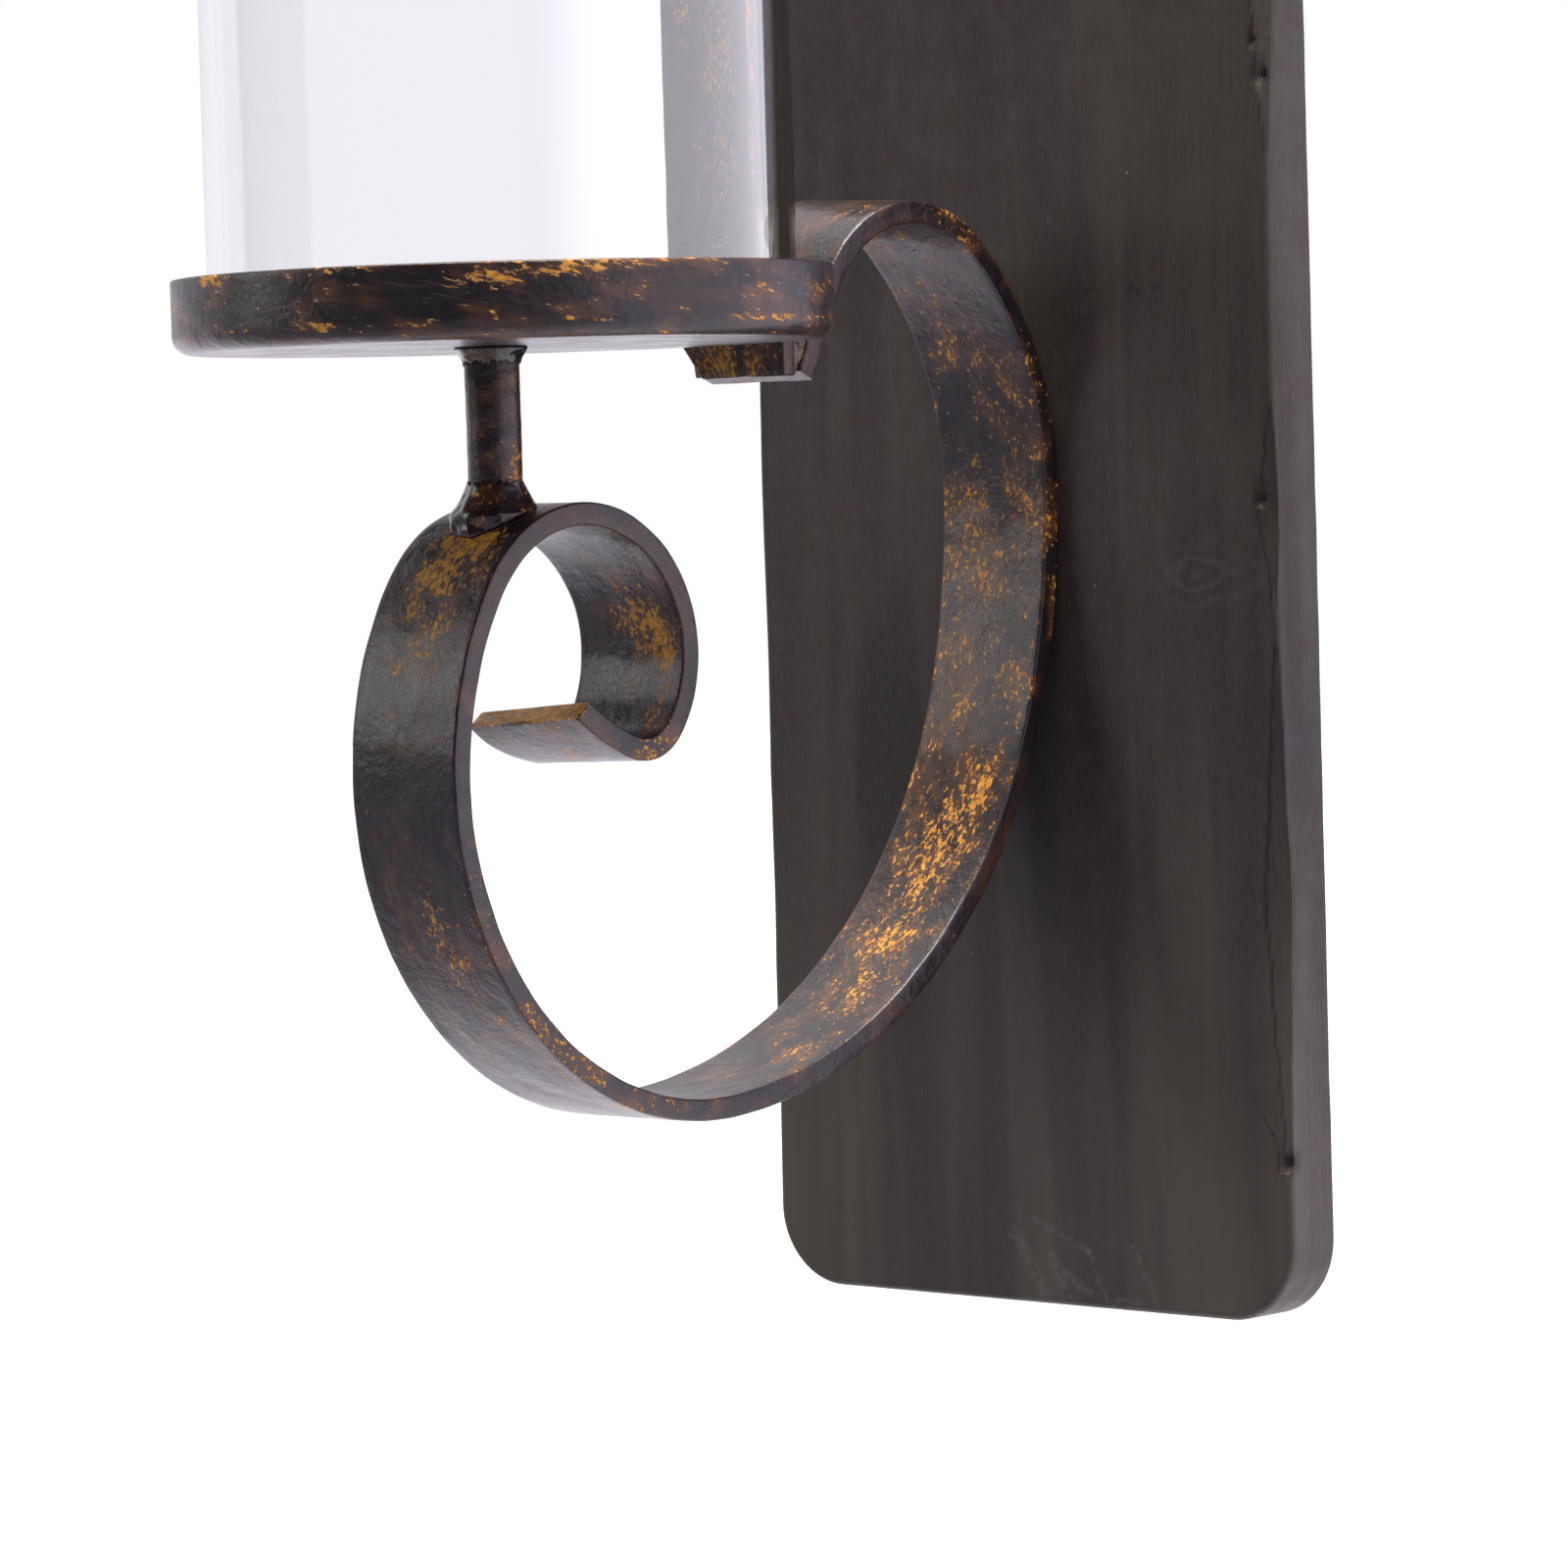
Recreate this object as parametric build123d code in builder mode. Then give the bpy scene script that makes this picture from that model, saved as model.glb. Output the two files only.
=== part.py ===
"""Wall sconce candle holder: a wooden back plate that carries a welded flat-bar bracket.

The bracket is a scroll bent from one flat bar, an upright strap, a short round post and a
shallow round tray. A plain glass cylinder stands loose in the tray and lifts straight off.

Frame: millimetres, +Z up, the wall is the plane Y = 0 and the sconce stands out along -Y.
The origin is the middle of the back plate's rear face.
"""

from build123d import *
from math import cos, radians, sin, sqrt
import os

# ---------------------------------------------------------------- driving dimensions, mm
# Wooden back plate
plate_width = 127.0
plate_height = 406.4
plate_thickness = 12.7
plate_corner_radius = 15.0
plate_edge_round = 1.2

# Flat bar of the scroll, and where its outer side touches the plate
bar_width = 25.4
bar_thickness = 4.0
bar_edge_round = 0.5
scroll_contact_height = 155.8  # above the plate's foot

# The scroll's centre line, as (radius, turn in degrees), from the contact point downwards
scroll_down = (
    (148.0, 14.2),  # along the wall
    (96.5, 71.0),  # lower rear quarter
    (61.0, 127.0),  # under and up the front
    (26.0, 113.0),  # over the top of the curl
    (23.0, 70.0),  # down the back of the curl
    (9.0, 74.5),  # tight turn at its foot
    (42.0, 20.0),  # nearly straight end
)
# and from the contact point upwards, ending in the straight leg behind the tray
scroll_up = (
    (57.5, 48.5),
    (26.0, 106.5),
)
leg_length = 15.8

# Upright strap behind the glass
strap_width = 25.4
strap_thickness = 3.2
strap_edge_round = 0.5
strap_below_top = 22.7  # from the plate's top edge to the top of the strap's arch
strap_tail = 24.0
strap_clip_width = 5.0  # corner ground off the strap's foot
strap_clip_height = 6.4
strap_weld_gap = 1.4  # between the strap and the foot of the scroll's leg

# Glass cylinder
glass_radius = 50.8
glass_wall = 2.8
glass_height = 152.4
glass_rim_round = 0.9

# Round tray
tray_clearance = 4.55  # round the glass
tray_height = 12.7
tray_wall = 1.8
tray_edge_radius = 3.2
tray_lip_round = 0.5
tray_above_strap_foot = 5.5

# Post between the curl and the tray
post_radius = 4.75
post_forward = 9.0  # in front of the centre of the curl's top arc

# Welds
weld_hollow = 0.4  # how far a fillet's middle lies from its corner, 0.5 being flat
foot_weld_rise = 6.0
foot_weld_reach = 3.4
head_weld_drop = 3.4
head_weld_reach = 1.8
strap_weld_rise = 7.4
strap_weld_inset = 0.6
tack_from = 8.0  # the tacks start this far from the middle of the strap
tack_overhang = 0.9
tack_below_lip = 2.0

# Fixings through the plate
stud_radius = 3.0
stud_clearance = 0.3
stud_end_recess = 0.8  # below the wall face
washer_radius = 8.0
washer_thickness = 1.6
nut_across_flats = 10.0
nut_height = 5.0
nut_recess = 1.4  # below the wall face
counterbore_room = 2.0  # round the washer

# Keyhole hanger let into the rear of the plate
hanger_width = 18.0
hanger_height = 44.0
hanger_thickness = 1.6
hanger_corner_radius = 3.0
hanger_above_stud = 4.3  # between the upper counterbore and the hanger's lower end
hanger_fit = 0.15
keyhole_entry_radius = 5.3
keyhole_slot_width = 5.4
keyhole_drop = 4.0  # entry hole below the hanger's middle
keyhole_slot_rise = 8.0  # top of the slot above the hanger's middle
pocket_room = 1.0  # behind the keyhole, all round
pocket_depth = 7.6
screw_from_end = 5.0  # of the hanger
screw_radius = 1.5
screw_head_radius = 2.9
screw_length = 10.0
screw_tip = 2.0

# ---------------------------------------------------------------- worked-out places, mm
plate_foot = -plate_height / 2
plate_front = -plate_thickness
contact_z = plate_foot + scroll_contact_height
bar_half = bar_thickness / 2
bar_at_plate = plate_front - bar_half  # the bar's centre line where it touches the plate

counterbore_radius = washer_radius + counterbore_room
counterbore_depth = nut_recess + nut_height + washer_thickness
nut_seat = -(nut_recess + nut_height)

down = (0, -1)  # headings in the side view, which is drawn as (y, z)
up = (0, 1)


def bend(start, heading, arcs, side):
    """Adds tangent arcs to the current line, turning to side; returns the last one."""
    arc = None
    for radius, turn in arcs:
        arc = JernArc(start=start, tangent=heading, radius=radius, arc_size=side * turn)
        start = arc @ 1
        heading = arc % 1
    return arc


def side_point(vector):
    """The (y, z) of a point on the side view."""
    return vector.Y, vector.Z


# ---------------------------------------------------------------- centre lines
with BuildLine(Plane.YZ) as scroll_line:
    bend((bar_at_plate, contact_z), down, scroll_down, -1)
    arch = bend((bar_at_plate, contact_z), up, scroll_up, 1)
    leg_heading = (arch % 1).normalized()
    leg = Line(arch @ 1, arch @ 1 + leg_heading * leg_length)

# The side view's (y, z) of the leg's foot, and the unit vector up the leg
foot_y, foot_z = side_point(leg @ 1)
leg_up_y, leg_up_z = -leg_heading.Y, -leg_heading.Z
leg_front_y = foot_y - bar_half * leg_up_z
leg_front_z = foot_z + bar_half * leg_up_y

strap_back = leg_front_y - strap_weld_gap
strap_middle = strap_back - strap_thickness / 2
strap_front = strap_back - strap_thickness
strap_at_plate = plate_front - strap_thickness / 2
strap_arch_radius = (strap_at_plate - strap_middle) / 2
strap_spring_z = plate_height / 2 - strap_below_top - strap_thickness / 2 - strap_arch_radius

tray_radius = glass_radius + tray_clearance + tray_wall
tray_y = strap_front - tray_radius
tray_under = foot_z + tray_above_strap_foot
tray_floor = tray_under + tray_wall
tray_top = tray_under + tray_height

upper_stud_z = strap_spring_z - strap_tail / 2
stud_heights = (contact_z, upper_stud_z)

hanger_z = upper_stud_z + counterbore_radius + hanger_above_stud + hanger_height / 2
keyhole_entry_z = hanger_z - keyhole_drop
keyhole_seat_z = hanger_z + keyhole_slot_rise - keyhole_slot_width / 2
keyhole_middle_z = (keyhole_entry_z + keyhole_seat_z) / 2
keyhole_run = keyhole_seat_z - keyhole_entry_z
screw_reach = hanger_height / 2 - screw_from_end
screw_heights = (hanger_z - screw_reach, hanger_z + screw_reach)


def curl_centre():
    """The (y, z) centre of the curl's top arc, found by walking the arcs before it."""
    y, z, turned = bar_at_plate, contact_z, 0.0
    for radius, turn in scroll_down[:4]:
        centre_y = y - radius * cos(radians(turned))
        centre_z = z + radius * sin(radians(turned))
        turned += turn
        y = centre_y + radius * cos(radians(turned))
        z = centre_z - radius * sin(radians(turned))
    return centre_y, centre_z


curl_y, curl_z = curl_centre()
curl_outer_radius = scroll_down[3][0] + bar_half
post_y = curl_y - post_forward
post_base_z = curl_z + sqrt(curl_outer_radius**2 - post_forward**2)

os.makedirs("parts", exist_ok=True)


def save(part, name):
    """Labels a finished piece and writes its STEP file."""
    part.label = name
    export_step(part, f"parts/{name}.step")


# ---------------------------------------------------------------- back plate
with BuildPart() as back_plate:
    with BuildSketch(Plane.XZ):
        RectangleRounded(plate_width, plate_height, plate_corner_radius)
    extrude(amount=plate_thickness)
    fillet(back_plate.faces().sort_by(Axis.Y)[0].edges(), radius=plate_edge_round)
    # stud holes with counterbores for the washers and nuts
    with BuildSketch(Plane.XZ):
        with Locations(*[(0, z) for z in stud_heights]):
            Circle(stud_radius + stud_clearance)
    extrude(amount=plate_thickness, mode=Mode.SUBTRACT)
    with BuildSketch(Plane.XZ):
        with Locations(*[(0, z) for z in stud_heights]):
            Circle(counterbore_radius)
    extrude(amount=counterbore_depth, mode=Mode.SUBTRACT)
    # rebate for the hanger, and the pocket that the wall screw's head goes into
    with BuildSketch(Plane.XZ):
        with Locations((0, hanger_z)):
            RectangleRounded(
                hanger_width + 2 * hanger_fit,
                hanger_height + 2 * hanger_fit,
                hanger_corner_radius + hanger_fit,
            )
    extrude(amount=hanger_thickness, mode=Mode.SUBTRACT)
    with BuildSketch(Plane.XZ):
        with Locations((0, keyhole_middle_z)):
            SlotCenterToCenter(
                keyhole_run, 2 * (keyhole_entry_radius + pocket_room), rotation=90
            )
    extrude(amount=pocket_depth, mode=Mode.SUBTRACT)
    # holes that the hanger's screws fill
    for screw_z in screw_heights:
        with BuildSketch(Plane.XZ):
            with Locations((0, screw_z)):
                Circle(screw_radius)
        extrude(amount=screw_length, mode=Mode.SUBTRACT)
save(back_plate.part, "back_plate")

# ---------------------------------------------------------------- scroll bracket
scroll_end = Plane(origin=scroll_line.line @ 0, x_dir=(1, 0, 0), z_dir=scroll_line.line % 0)
with BuildPart() as scroll_bracket:
    with BuildSketch(scroll_end):
        RectangleRounded(bar_width, bar_thickness, bar_edge_round)
    sweep(path=scroll_line.line)
save(scroll_bracket.part, "scroll_bracket")

# ---------------------------------------------------------------- strap behind the glass
with BuildLine(Plane.YZ) as strap_line:
    upright = Line((strap_middle, foot_z), (strap_middle, strap_spring_z))
    strap_arch = JernArc(
        start=upright @ 1, tangent=upright % 1, radius=strap_arch_radius, arc_size=-180
    )
    Line(strap_arch @ 1, strap_arch @ 1 + Vector(0, 0, -strap_tail))

with BuildPart() as back_strap:
    with BuildSketch(Plane.XY.offset(foot_z)):
        with Locations((0, strap_middle)):
            RectangleRounded(strap_width, strap_thickness, strap_edge_round)
    sweep(path=strap_line.line)
    # corner ground off the foot, on the left
    with BuildSketch(Plane.XZ.offset(-strap_back)):
        with BuildLine():
            Polyline(
                (-strap_width / 2, foot_z),
                (-strap_width / 2 + strap_clip_width, foot_z),
                (-strap_width / 2, foot_z + strap_clip_height),
                close=True,
            )
        make_face()
    extrude(amount=strap_thickness, mode=Mode.SUBTRACT)
save(back_strap.part, "back_strap")

# ---------------------------------------------------------------- tray
with BuildPart() as candle_tray:
    with BuildSketch(Plane.XY.offset(tray_under)):
        with Locations((0, tray_y)):
            Circle(tray_radius)
    extrude(amount=tray_height)
    fillet(candle_tray.edges().sort_by(Axis.Z)[0], radius=tray_edge_radius)
    with BuildSketch(Plane.XY.offset(tray_floor)):
        with Locations((0, tray_y)):
            Circle(tray_radius - tray_wall)
    extrude(amount=tray_height, mode=Mode.SUBTRACT)
    tray_inside = candle_tray.edges().filter_by(GeomType.CIRCLE).filter_by_position(
        Axis.Z, tray_floor - 0.01, tray_floor + 0.01
    )
    fillet(tray_inside, radius=tray_edge_radius - tray_wall)
    fillet(candle_tray.faces().sort_by(Axis.Z)[-1].edges(), radius=tray_lip_round)
save(candle_tray.part, "candle_tray")

# ---------------------------------------------------------------- glass cylinder
with BuildPart() as glass_shade:
    with BuildSketch(Plane.XY.offset(tray_floor)):
        with Locations((0, tray_y)):
            Circle(glass_radius)
            Circle(glass_radius - glass_wall, mode=Mode.SUBTRACT)
    extrude(amount=glass_height)
    fillet(glass_shade.edges().filter_by(GeomType.CIRCLE), radius=glass_rim_round)
save(glass_shade.part, "glass_shade")


def curl_body():
    """Everything inside the curl's outer side, to cut what stands on it to fit."""
    with Locations(Location((0, curl_y, curl_z), (0, 90, 0))):
        Cylinder(curl_outer_radius, 2 * bar_width, mode=Mode.SUBTRACT)


# ---------------------------------------------------------------- post
with BuildPart() as tray_post:
    with BuildSketch(Plane.XY.offset(curl_z)):
        with Locations((0, post_y)):
            Circle(post_radius)
    extrude(amount=tray_under - curl_z)
    curl_body()
save(tray_post.part, "tray_post")

# ---------------------------------------------------------------- welds of the post
post_view = Plane.XZ.offset(-post_y)
post_axis = Axis((0, post_y, 0), (0, 0, 1))

with BuildPart() as post_foot_weld:
    with BuildSketch(post_view):
        with BuildLine():
            ThreePointArc(
                (post_radius, post_base_z + foot_weld_rise),
                (post_radius + weld_hollow * foot_weld_reach, post_base_z + weld_hollow * foot_weld_rise),
                (post_radius + foot_weld_reach, post_base_z),
            )
            Polyline(
                (post_radius + foot_weld_reach, post_base_z),
                (post_radius + foot_weld_reach, curl_z),
                (post_radius, curl_z),
                (post_radius, post_base_z + foot_weld_rise),
            )
        make_face()
    revolve(axis=post_axis)
    curl_body()
save(post_foot_weld.part, "post_foot_weld")

with BuildPart() as post_head_weld:
    with BuildSketch(post_view):
        with BuildLine():
            ThreePointArc(
                (post_radius, tray_under - head_weld_drop),
                (post_radius + weld_hollow * head_weld_reach, tray_under - weld_hollow * head_weld_drop),
                (post_radius + head_weld_reach, tray_under),
            )
            Polyline(
                (post_radius + head_weld_reach, tray_under),
                (post_radius, tray_under),
                (post_radius, tray_under - head_weld_drop),
            )
        make_face()
    revolve(axis=post_axis)
save(post_head_weld.part, "post_head_weld")

# ---------------------------------------------------------------- weld of strap and leg
weld_top = foot_z + strap_weld_rise
leg_run = (weld_top - leg_front_z) / leg_up_z
with BuildPart() as strap_foot_weld:
    with BuildSketch(Plane.YZ):
        with BuildLine():
            Polyline(
                (strap_back, foot_z),
                (strap_back, weld_top),
                (leg_front_y + leg_run * leg_up_y, weld_top),
                (leg_front_y, leg_front_z),
                close=True,
            )
        make_face()
    extrude(amount=bar_width / 2 - strap_weld_inset, both=True)
save(strap_foot_weld.part, "strap_foot_weld")

# ---------------------------------------------------------------- tacks of tray and strap
tack_span = strap_width / 2 + tack_overhang - tack_from
tack_length = tray_height - tray_edge_radius - tack_below_lip
with BuildPart() as tray_tack_welds:
    with BuildSketch(Plane.XY.offset(tray_top - tack_below_lip - tack_length)):
        for side in (-1, 1):
            with Locations((side * (tack_from + tack_span / 2), strap_front)):
                Rectangle(tack_span, tack_span, align=(Align.CENTER, Align.MAX))
        with Locations((0, tray_y)):
            Circle(tray_radius, mode=Mode.SUBTRACT)
    extrude(amount=tack_length)
save(tray_tack_welds.part, "tray_tack_welds")

# ---------------------------------------------------------------- studs, washers and nuts
with BuildPart() as bracket_studs:
    with BuildSketch(Plane.XZ.offset(stud_end_recess)):
        with Locations(*[(0, z) for z in stud_heights]):
            Circle(stud_radius)
    extrude(amount=plate_thickness - stud_end_recess)
save(bracket_studs.part, "bracket_studs")

with BuildPart() as stud_washers:
    with BuildSketch(Plane.XZ.offset(-nut_seat)):
        with Locations(*[(0, z) for z in stud_heights]):
            Circle(washer_radius)
            Circle(stud_radius + stud_clearance, mode=Mode.SUBTRACT)
    extrude(amount=washer_thickness)
save(stud_washers.part, "stud_washers")

with BuildPart() as stud_nuts:
    with BuildSketch(Plane.XZ.offset(-nut_seat - nut_height)):
        with Locations(*[(0, z) for z in stud_heights]):
            RegularPolygon(nut_across_flats / 2, side_count=6, major_radius=False)
            Circle(stud_radius, mode=Mode.SUBTRACT)
    extrude(amount=nut_height)
save(stud_nuts.part, "stud_nuts")

# ---------------------------------------------------------------- keyhole hanger
with BuildPart() as keyhole_hanger:
    with BuildSketch(Plane.XZ):
        with Locations((0, hanger_z)):
            RectangleRounded(hanger_width, hanger_height, hanger_corner_radius)
        with Locations((0, keyhole_entry_z)):
            Circle(keyhole_entry_radius, mode=Mode.SUBTRACT)
        with Locations((0, keyhole_middle_z)):
            SlotCenterToCenter(
                keyhole_run, keyhole_slot_width, rotation=90, mode=Mode.SUBTRACT
            )
    extrude(amount=hanger_thickness)
    for screw_z in screw_heights:
        with Locations(Location((0, -hanger_thickness / 2, screw_z), (90, 0, 0))):
            Cone(
                screw_head_radius,
                screw_radius,
                hanger_thickness,
                mode=Mode.SUBTRACT,
            )
save(keyhole_hanger.part, "keyhole_hanger")

with BuildPart() as hanger_screws:
    for screw_z in screw_heights:
        with BuildSketch(Plane.XY.offset(screw_z)):
            with BuildLine():
                Polyline(
                    (0, 0),
                    (screw_head_radius, 0),
                    (screw_radius, -hanger_thickness),
                    (screw_radius, screw_tip - screw_length),
                    (0, -screw_length),
                    close=True,
                )
            make_face()
        revolve(axis=Axis((0, 0, screw_z), (0, 1, 0)))
save(hanger_screws.part, "hanger_screws")

print("tray: axis y", round(tray_y, 2), "floor z", round(tray_floor, 2))
print("strap: front y", round(strap_front, 2), "arch springs at z", round(strap_spring_z, 2))
print("scroll: touches the plate at z", round(contact_z, 2), "curl", round(curl_y, 2), round(curl_z, 2))
print("hanger: middle z", round(hanger_z, 2), "slot's seat z", round(keyhole_seat_z, 2))
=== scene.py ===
"""Looks of the wall sconce candle holder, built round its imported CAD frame.

A stained wooden board carries a flat-bar scroll bracket, an upright strap, a short post and a
shallow round tray with a plain glass cylinder standing in it. All metal is near-black satin paint
over ochre, which shows where it is rubbed through.

Lengths inside the classes are in millimetres. They become metres when a mesh is made. The frame is
the CAD frame: +Z up, the wall is the plane Y = 0, and the sconce stands out along -Y.
"""

import logging
from collections.abc import Callable, Iterable
from dataclasses import dataclass, field
from enum import Enum
from math import cos, pi, radians, sin

import bmesh
import bpy
import numpy as np
from mathutils import Matrix, Vector, noise


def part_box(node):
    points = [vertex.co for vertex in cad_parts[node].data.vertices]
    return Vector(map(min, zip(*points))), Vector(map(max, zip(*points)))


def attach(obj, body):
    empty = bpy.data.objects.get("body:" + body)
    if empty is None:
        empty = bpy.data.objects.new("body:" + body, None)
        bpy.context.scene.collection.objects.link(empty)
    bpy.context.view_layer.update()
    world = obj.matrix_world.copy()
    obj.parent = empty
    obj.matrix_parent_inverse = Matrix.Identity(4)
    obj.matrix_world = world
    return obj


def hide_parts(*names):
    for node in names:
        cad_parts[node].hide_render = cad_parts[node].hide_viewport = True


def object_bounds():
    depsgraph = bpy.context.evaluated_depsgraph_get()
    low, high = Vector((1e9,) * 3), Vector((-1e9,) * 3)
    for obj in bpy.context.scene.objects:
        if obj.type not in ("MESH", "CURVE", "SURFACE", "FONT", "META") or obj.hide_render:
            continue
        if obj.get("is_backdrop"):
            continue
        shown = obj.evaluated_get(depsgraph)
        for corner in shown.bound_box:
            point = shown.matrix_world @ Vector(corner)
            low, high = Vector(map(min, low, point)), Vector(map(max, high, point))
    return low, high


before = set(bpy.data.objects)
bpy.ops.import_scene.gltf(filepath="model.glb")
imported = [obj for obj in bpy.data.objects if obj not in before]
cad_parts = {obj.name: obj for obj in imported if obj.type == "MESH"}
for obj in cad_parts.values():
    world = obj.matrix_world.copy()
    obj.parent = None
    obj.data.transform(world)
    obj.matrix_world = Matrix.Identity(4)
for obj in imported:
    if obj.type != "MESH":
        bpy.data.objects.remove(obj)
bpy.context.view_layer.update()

MM = 0.001
SKIN = "skin_at"
WEAR_AND_SHADE = "wear"
log = logging.getLogger("sconce")

Socket = bpy.types.NodeSocket
Material = bpy.types.Material
Piece = bpy.types.Object


class Body(Enum):
    """The CAD bodies that pieces ride on."""

    BRACKET = "bracket"
    GLASS = "glass"


class Slot(Enum):
    """The record's material slots."""

    METAL = "aged_metal"
    WOOD = "stained_wood"
    GLASS = "clear_glass"
    STEEL = "zinc_steel"


class Side(Enum):
    """Which side of a bent bar a rubbed patch is on."""

    OUTER = -1
    EDGE = 0
    INNER = 1


# ---------------------------------------------------------------- small helpers


def smooth_step(value: np.ndarray | float, low: float, high: float) -> np.ndarray | float:
    """Rises smoothly from 0 at low to 1 at high.

    Args:
        value: One number or an array of them.
        low: Where the rise starts.
        high: Where it ends.

    Returns:
        The risen value, in the shape that came in.
    """
    share = np.clip((value - low) / (high - low), 0.0, 1.0)
    return share * share * (3.0 - 2.0 * share)


def wander(x: float, y: float, z: float, size: float, seed: float = 0.0) -> float:
    """Smooth noise between about -1 and 1.

    Args:
        x: Place along the first axis, mm.
        y: Place along the second axis, mm.
        z: Place along the third axis, mm.
        size: Width of one swell, mm.
        seed: Shifts the pattern.

    Returns:
        The noise at that place.
    """
    return noise.noise(Vector((x / size + seed, y / size - seed, z / size + 2.0 * seed)))


def wander_over(places: np.ndarray, size: float, seed: float = 0.0) -> np.ndarray:
    """The same smooth noise at every point of an array whose last axis is (x, y, z).

    Args:
        places: Points, with (x, y, z) on the last axis, mm.
        size: Width of one swell, mm.
        seed: Shifts the pattern.

    Returns:
        One value for each point.
    """
    flat = places.reshape(-1, 3)
    values = [wander(x, y, z, size, seed) for x, y, z in flat]
    return np.array(values).reshape(places.shape[:-1])


def box_mm(node: str) -> tuple[np.ndarray, np.ndarray]:
    """Lowest and highest corner of a CAD node, mm."""
    low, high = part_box(node)
    return np.array(low) / MM, np.array(high) / MM


# ---------------------------------------------------------------- meshes


@dataclass
class Lattice:
    """Rows and columns of points that become one mesh of quads.

    Attributes:
        places: Rows x columns x 3, mm.
        skin: Coordinates for the finish, mm, with one column more where the columns close.
        wear: Rows x columns, how far the finish is rubbed through, 0 to 1; on the board it holds painted
            shade in the nicks and along the chamfers' borders instead.
        closed_rows: Joins the last row to the first.
        closed_columns: Joins the last column to the first.
        capped: Closes the first and the last row with a face.
    """

    places: np.ndarray
    skin: np.ndarray
    wear: np.ndarray | None = None
    closed_rows: bool = False
    closed_columns: bool = True
    capped: bool = True

    def faces(self) -> tuple[list[tuple[int, ...]], list[tuple[int, int]]]:
        """Faces of the mesh.

        Returns:
            The faces as vertex indices, and the (row, column) of every face corner.
        """
        rows, columns = self.places.shape[:2]
        faces: list[tuple[int, ...]] = []
        corners: list[tuple[int, int]] = []
        for row in range(rows if self.closed_rows else rows - 1):
            for column in range(columns if self.closed_columns else columns - 1):
                ring = [(row, column), (row, column + 1), (row + 1, column + 1), (row + 1, column)]
                faces.append(tuple((r % rows) * columns + c % columns for r, c in ring))
                corners += [(r % rows, c) for r, c in ring]
        if self.capped and not self.closed_rows:
            faces.append(tuple(reversed(range(columns))))
            corners += [(0, c) for c in reversed(range(columns))]
            faces.append(tuple((rows - 1) * columns + c for c in range(columns)))
            corners += [(rows - 1, c) for c in range(columns)]
        return faces, corners

    def build(self, name: str, crease: float = 38.0) -> Piece:
        """Makes the object.

        Args:
            name: The piece's name.
            crease: Edges sharper than this many degrees are shaded sharp.

        Returns:
            The new object, linked to the scene, at the frame's origin.
        """
        faces, corners = self.faces()
        mesh = bpy.data.meshes.new(name)
        mesh.from_pydata((self.places.reshape(-1, 3) * MM).tolist(), [], faces)
        rows, columns = np.array(corners).T
        skin = mesh.attributes.new(SKIN, "FLOAT_VECTOR", "CORNER")
        skin.data.foreach_set("vector", self.skin[rows, columns].astype(np.float32).ravel())
        wear = mesh.attributes.new(WEAR_AND_SHADE, "FLOAT", "POINT")
        if self.wear is not None:
            wear.data.foreach_set("value", self.wear.astype(np.float32).ravel())
        return finish_mesh(mesh, name, crease)


def finish_mesh(mesh: bpy.types.Mesh, name: str, crease: float = 38.0) -> Piece:
    """Turns normals outwards, shades the mesh smooth and links it as an object.

    Args:
        mesh: The mesh.
        name: The piece's name.
        crease: Edges sharper than this many degrees are shaded sharp.

    Returns:
        The new object.
    """
    work = bmesh.new()
    work.from_mesh(mesh)
    bmesh.ops.recalc_face_normals(work, faces=work.faces)
    work.to_mesh(mesh)
    work.free()
    mesh.shade_smooth()
    mesh.set_sharp_from_angle(angle=radians(crease))
    piece = bpy.data.objects.new(name, mesh)
    bpy.context.scene.collection.objects.link(piece)
    return piece


def with_modifiers(piece: Piece) -> Piece:
    """Applies the piece's modifiers to its mesh.

    Args:
        piece: The piece.

    Returns:
        The same piece, with a new mesh.
    """
    bpy.context.view_layer.update()
    evaluated = piece.evaluated_get(bpy.context.evaluated_depsgraph_get())
    mesh = bpy.data.meshes.new_from_object(evaluated)
    piece.modifiers.clear()
    piece.data = mesh
    return piece


def round_outline(half_width: float, half_height: float, radius: float, step: float) -> np.ndarray:
    """Points round a rectangle with rounded corners, counter-clockwise.

    Args:
        half_width: Half of its width, mm.
        half_height: Half of its height, mm.
        radius: Corner radius, mm.
        step: Distance between points on the straights, mm.

    Returns:
        Rows of (x, z, outward x, outward z).
    """
    points = []
    corners = ((1, -1, -90.0), (1, 1, 0.0), (-1, 1, 90.0), (-1, -1, 180.0))
    for index, (sx, sz, start) in enumerate(corners):
        middle = np.array([sx * (half_width - radius), sz * (half_height - radius)])
        arc_steps = max(4, int(radius * pi / 2 / min(step, 0.9 + radius * 0.02)))
        for k in range(arc_steps + 1):
            angle = radians(start + 90.0 * k / arc_steps)
            out = np.array([cos(angle), sin(angle)])
            points.append(np.concatenate([middle + radius * out, out]))
        nx, nz, _ = corners[(index + 1) % 4]
        ahead = np.array([nx * (half_width - radius), nz * (half_height - radius)])
        out = points[-1][2:]
        run = np.linalg.norm(ahead - middle)
        for k in range(1, int(run / step)):
            share = k / int(run / step)
            points.append(np.concatenate([middle + (ahead - middle) * share + radius * out, out]))
    return np.array(points)


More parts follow.
